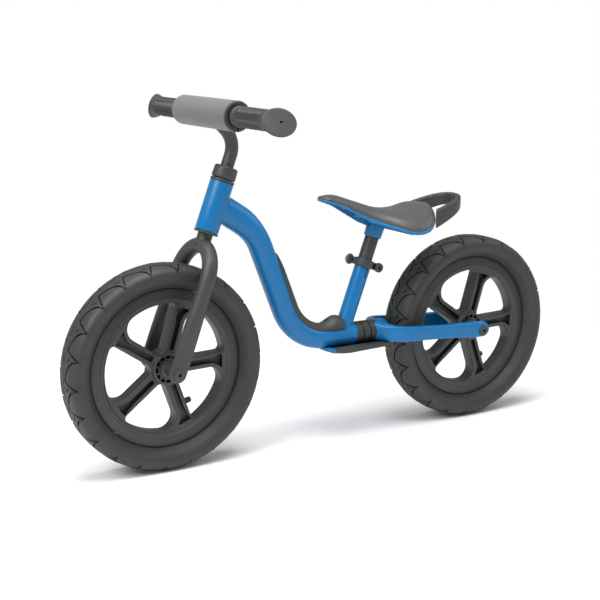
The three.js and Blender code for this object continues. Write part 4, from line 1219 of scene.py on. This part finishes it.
def rim():
    """Moulded wheel: rim band, five channelled spokes and a slotted hub."""
    half = [(11.3, 9), (11.3, HUB_HALF), (23.6, HUB_HALF), (24.6, WEB_HALF), (97.6, WEB_HALF),
            (100.5, BAND_HALF), (103.2, BAND_HALF), (104.2, BAND_HALF - 0.9), (BEAD_R - 0.4, BEAD_HALF + 0.4)]
    soft = [0.2, 1.0, 1.4, 2.0, 2.0, 1.4, 0.5, 0.5, 0.8]
    corners = half + [(r, -h) for r, h in reversed(half)]
    wheel = lathe(softened(corners, soft + soft[::-1], 3), "Y", 160)
    step = 2 * math.pi / SPOKES
    tools = []
    for k in range(SPOKES):
        spoke = SPOKE_START + k * step
        tools.append(window_tool(spoke + step / 2))
        tools += [pocket_tool(spoke, 1), pocket_tool(spoke, -1)]
    half_slot, slots = math.radians(12), 12
    outline = arc((0, 0), 20.2, -half_slot, half_slot, 5) + arc((0, 0), 15.6, half_slot, -half_slot, 5)
    for k in range(slots):
        turn = Matrix.Rotation(2 * math.pi * k / slots, 4, "Y")
        for side in (1, -1):
            slot = slab(outline, HUB_HALF - 6, HUB_HALF + 2, "Y")
            tools.append(moved(slot, turn @ Matrix.Scale(side, 4, (0, 1, 0))))
    return cut(cut(wheel, *tools), valve_line(4.6)[0])


def valve_line(radius):
    """The valve leaves the rim beside a spoke and bends over to be reached. Returns it and its end."""
    points = []
    for reach_out, way in ((RIM_IN_R - 0.7, 246), (68, 246), (73.5, 231)):
        points.append((reach_out * math.cos(math.radians(way)), -7, reach_out * math.sin(math.radians(way))))
    stations = bent(points, [7], spacing=4, bend_step=math.radians(10))
    return sweep(stations, lambda i: section(radius, radius, 2.0, 32)), stations[-1]


def capped_valve():
    tube, (end, way) = valve_line(3.4)
    outline = softened([(0, -9), (4.4, -9), (4.6, -1), (3.4, 0.4), (0, 0.4)], [0, 0.8, 0.8, 0.8, 0], 3)
    cap = moved(lathe(outline, "Z", 40), way.to_track_quat("Z", "Y").to_matrix().to_4x4())
    return fused(tube, moved(cap, Matrix.Translation(end)))


class BuildWheels(bpy.types.Operator):
    """Tyres, moulded wheels, valves, bearings, axles, spacers and axle bolts"""
    bl_idname = "bike.wheels"
    bl_label = "Wheels"

    def execute(self, context):
        sizes = context.scene.bike_sizes
        rubber = tyre(sizes.tread_groove / MM, sizes.tread_rise / MM, sizes.tread_blocks)
        moulding = rim()
        stem = capped_valve()
        for end, where in WHEELS.items():
            wheel, holder = f"{end}_wheel", WHEEL_BODY[end]
            for draft_of, name, finish, slot, stands_for in (
                    (rubber, "tyre_treaded", "tyre", "tyre", "tyre"),
                    (moulding, "wheel_moulded", "dark_plastic", "black_plastic", "rim"),
                    (stem, "valve_stem", "rubber", "rubber", "valve")):
                copy = bpy.data.objects.new("draft", draft_of.data.copy())
                context.scene.collection.objects.link(copy)
                piece(f"{end}_{name}", copy, where, FINISHES[finish], wheel, slot, f"{end}_{stands_for}",
                      crease=40)
            low, high = reach(f"{end}_axle", where)
            piece(f"{end}_axle_tube", ring(3.4, 5, low.y, high.y), where, FINISHES["steel"], holder, "steel",
                  f"{end}_axle")
            for hand, side in (("left", 1), ("right", -1)):
                flip = where @ Matrix.Scale(side, 4, (0, 1, 0))
                race = ring(5.3, 11, 9.3, HUB_HALF, "Y", 0.5)
                sleeve_end = abs(reach(f"{end}_spacer_{hand}", where)[0 if side < 0 else 1].y)
                foot = HUB_HALF + 0.3
                sleeve = lathe(softened([(5.3, foot), (12.6, foot), (12.6, HUB_HALF + 1.6), (8, HUB_HALF + 3),
                                         (8, sleeve_end), (5.3, sleeve_end)], [0.2, 0.6, 0.8, 1.2, 0.6, 0.2]))
                head_low = BOLT_HEAD_FROM[end]
                head_high = abs(reach(f"{end}_bolt_{hand}", where)[0 if side < 0 else 1].y)
                cap = lathe(softened([(0, head_low), (8.8, head_low), (8.6, head_high - 1.1),
                                      (6.4, head_high), (0, head_high)], [0, 0.3, 1.0, 1.2, 0]))
                shank = ring(0, 3.1, 24, head_low + 0.5, "Y", 0.3, 32)
                bolt = cut(fused(cap, shank), hexagon(5, head_high - 3.2, head_high + 5))
                for draft_of, name, finish, body, slot in (
                        (race, "bearing", "steel", wheel, "steel"),
                        (sleeve, "spacer", "dark_plastic", holder, "black_plastic"),
                        (bolt, "bolt", "dark_paint", holder, "black_paint")):
                    if side < 0:
                        draft_of.data.flip_normals()
                    piece(f"{end}_{name}_{hand}_turned", draft_of, flip, FINISHES[finish], body, slot,
                          f"{end}_{name}_{hand}")
        for draft_of in (rubber, moulding, stem):
            bpy.data.objects.remove(draft_of)
        return {"FINISHED"}


# ---------------------------------------------------------------- stage
CAMERA_AT = Vector((1.0132, 1.5631, 0.6280))
CAMERA_AIM = Vector((0.0340, -0.02102, 0.22163))
CAMERA_ROLL = math.radians(0.83)


class BuildStage(bpy.types.Operator):
    """Pale floor, soft studio light and the camera"""
    bl_idname = "bike.stage"
    bl_label = "Stage"

    def execute(self, context):
        scene = context.scene
        floor_half, floor_z = 12, -0.0004
        corners = [(x * floor_half, y * floor_half, floor_z) for x, y in ((-1, -1), (1, -1), (1, 1), (-1, 1))]
        floor = draft(corners, [(0, 1, 2, 3)])
        floor.name = "studio_floor"
        plain = bpy.data.materials.new("Matt studio paper")
        plain.use_nodes = True
        tree = plain.node_tree
        tree.nodes.clear()
        # White paper that runs out into the room's light: only what is near the bike takes its shadow.
        where = node(tree, "ShaderNodeTexCoord").outputs["Object"]
        far = node(tree, "ShaderNodeVectorMath", {"operation": "LENGTH"}, Vector=where)
        fade = node(tree, "ShaderNodeMapRange", {"interpolation_type": "SMOOTHSTEP", "From Min": 0.45,
                                                 "From Max": 1.1}, Value=far.outputs["Value"])
        paper = node(tree, "ShaderNodeBsdfPrincipled", {"Base Color": (*scene.bike_colours.floor, 1),
                                                        "Roughness": 0.9})
        glow = node(tree, "ShaderNodeEmission", {"Color": (1, 1, 1, 1), "Strength": 1.0})
        ground = node(tree, "ShaderNodeMixShader", Fac=fade.outputs["Result"])
        tree.links.new(paper.outputs["BSDF"], ground.inputs[1])
        tree.links.new(glow.outputs["Emission"], ground.inputs[2])
        node(tree, "ShaderNodeOutputMaterial", Surface=ground.outputs["Shader"])
        floor.data.materials.append(plain)
        world = bpy.data.worlds.new("Soft white room")
        world.use_nodes = True
        tree = world.node_tree
        tree.nodes.clear()
        # Seen straight on the room is white; as a light it is dimmer, so that the lamps shape the bike.
        seen = node(tree, "ShaderNodeLightPath").outputs["Is Camera Ray"]
        level = node(tree, "ShaderNodeMapRange", {"To Min": 0.4, "To Max": 1.0}, Value=seen)
        sky = node(tree, "ShaderNodeBackground", {"Color": (1, 1, 1, 1)}, Strength=level.outputs["Result"])
        node(tree, "ShaderNodeOutputWorld", Surface=sky.outputs["Background"])
        scene.world = world
        for name, at, size, power in (("top_softbox", (0.2, 0.3, 2.2), 1.6, 54),
                                      ("key_softbox", (2.0, 0.5, 1.8), 1.2, 40),
                                      ("rim_softbox", (-2.0, 0.8, 1.5), 1.2, 8)):
            light = bpy.data.lights.new(name, "AREA")
            light.shape, light.size, light.energy = "SQUARE", size, power
            lamp = bpy.data.objects.new(name, light)
            lamp.location = at
            lamp.rotation_mode = "QUATERNION"
            lamp.rotation_quaternion = (Vector((0, 0, 0.2)) - Vector(at)).to_track_quat("-Z", "Y")
            scene.collection.objects.link(lamp)
        lens = bpy.data.cameras.new("camera")
        lens.lens, lens.sensor_width = 73.66, 36.0
        camera = bpy.data.objects.new("camera", lens)
        camera.rotation_mode = "QUATERNION"
        camera.location = CAMERA_AT
        roll = Matrix.Rotation(CAMERA_ROLL, 3, "Z").to_quaternion()
        camera.rotation_quaternion = (CAMERA_AIM - CAMERA_AT).to_track_quat("-Z", "Y") @ roll
        scene.collection.objects.link(camera)
        scene.camera = camera
        scene.view_settings.view_transform = "Standard"
        return {"FINISHED"}


# ---------------------------------------------------------------- add-on
OPERATORS = (BuildFrameTubes, BuildFrameTrim, BuildSeatClamp, BuildSeat, BuildFork, BuildHandlebar,
             BuildWheels, BuildStage)


class BikePanel(bpy.types.Panel):
    """Sizes, colours and the building steps of the bike"""
    bl_idname = "VIEW3D_PT_balance_bike"
    bl_label = "Balance Bike"
    bl_space_type = "VIEW_3D"
    bl_region_type = "UI"
    bl_category = "Balance Bike"

    def draw(self, context):
        for group in (context.scene.bike_sizes, context.scene.bike_colours):
            box = self.layout.box()
            for name in group.bl_rna.properties.keys():
                if name not in {"rna_type", "name"}:
                    box.prop(group, name)
        for operator in OPERATORS:
            self.layout.operator(operator.bl_idname)


CLASSES = (BikeSizes, BikeColours, *OPERATORS, BikePanel)


def register():
    for item in CLASSES:
        bpy.utils.register_class(item)
    bpy.types.Scene.bike_sizes = bpy.props.PointerProperty(type=BikeSizes)
    bpy.types.Scene.bike_colours = bpy.props.PointerProperty(type=BikeColours)


def unregister():
    del bpy.types.Scene.bike_sizes
    del bpy.types.Scene.bike_colours
    for item in reversed(CLASSES):
        bpy.utils.unregister_class(item)


def main():
    register()
    make_finishes(bpy.context.scene.bike_colours)
    for operator in OPERATORS:
        group, name = operator.bl_idname.split(".")
        getattr(getattr(bpy.ops, group), name)()


if __name__ == "__main__":
    main()
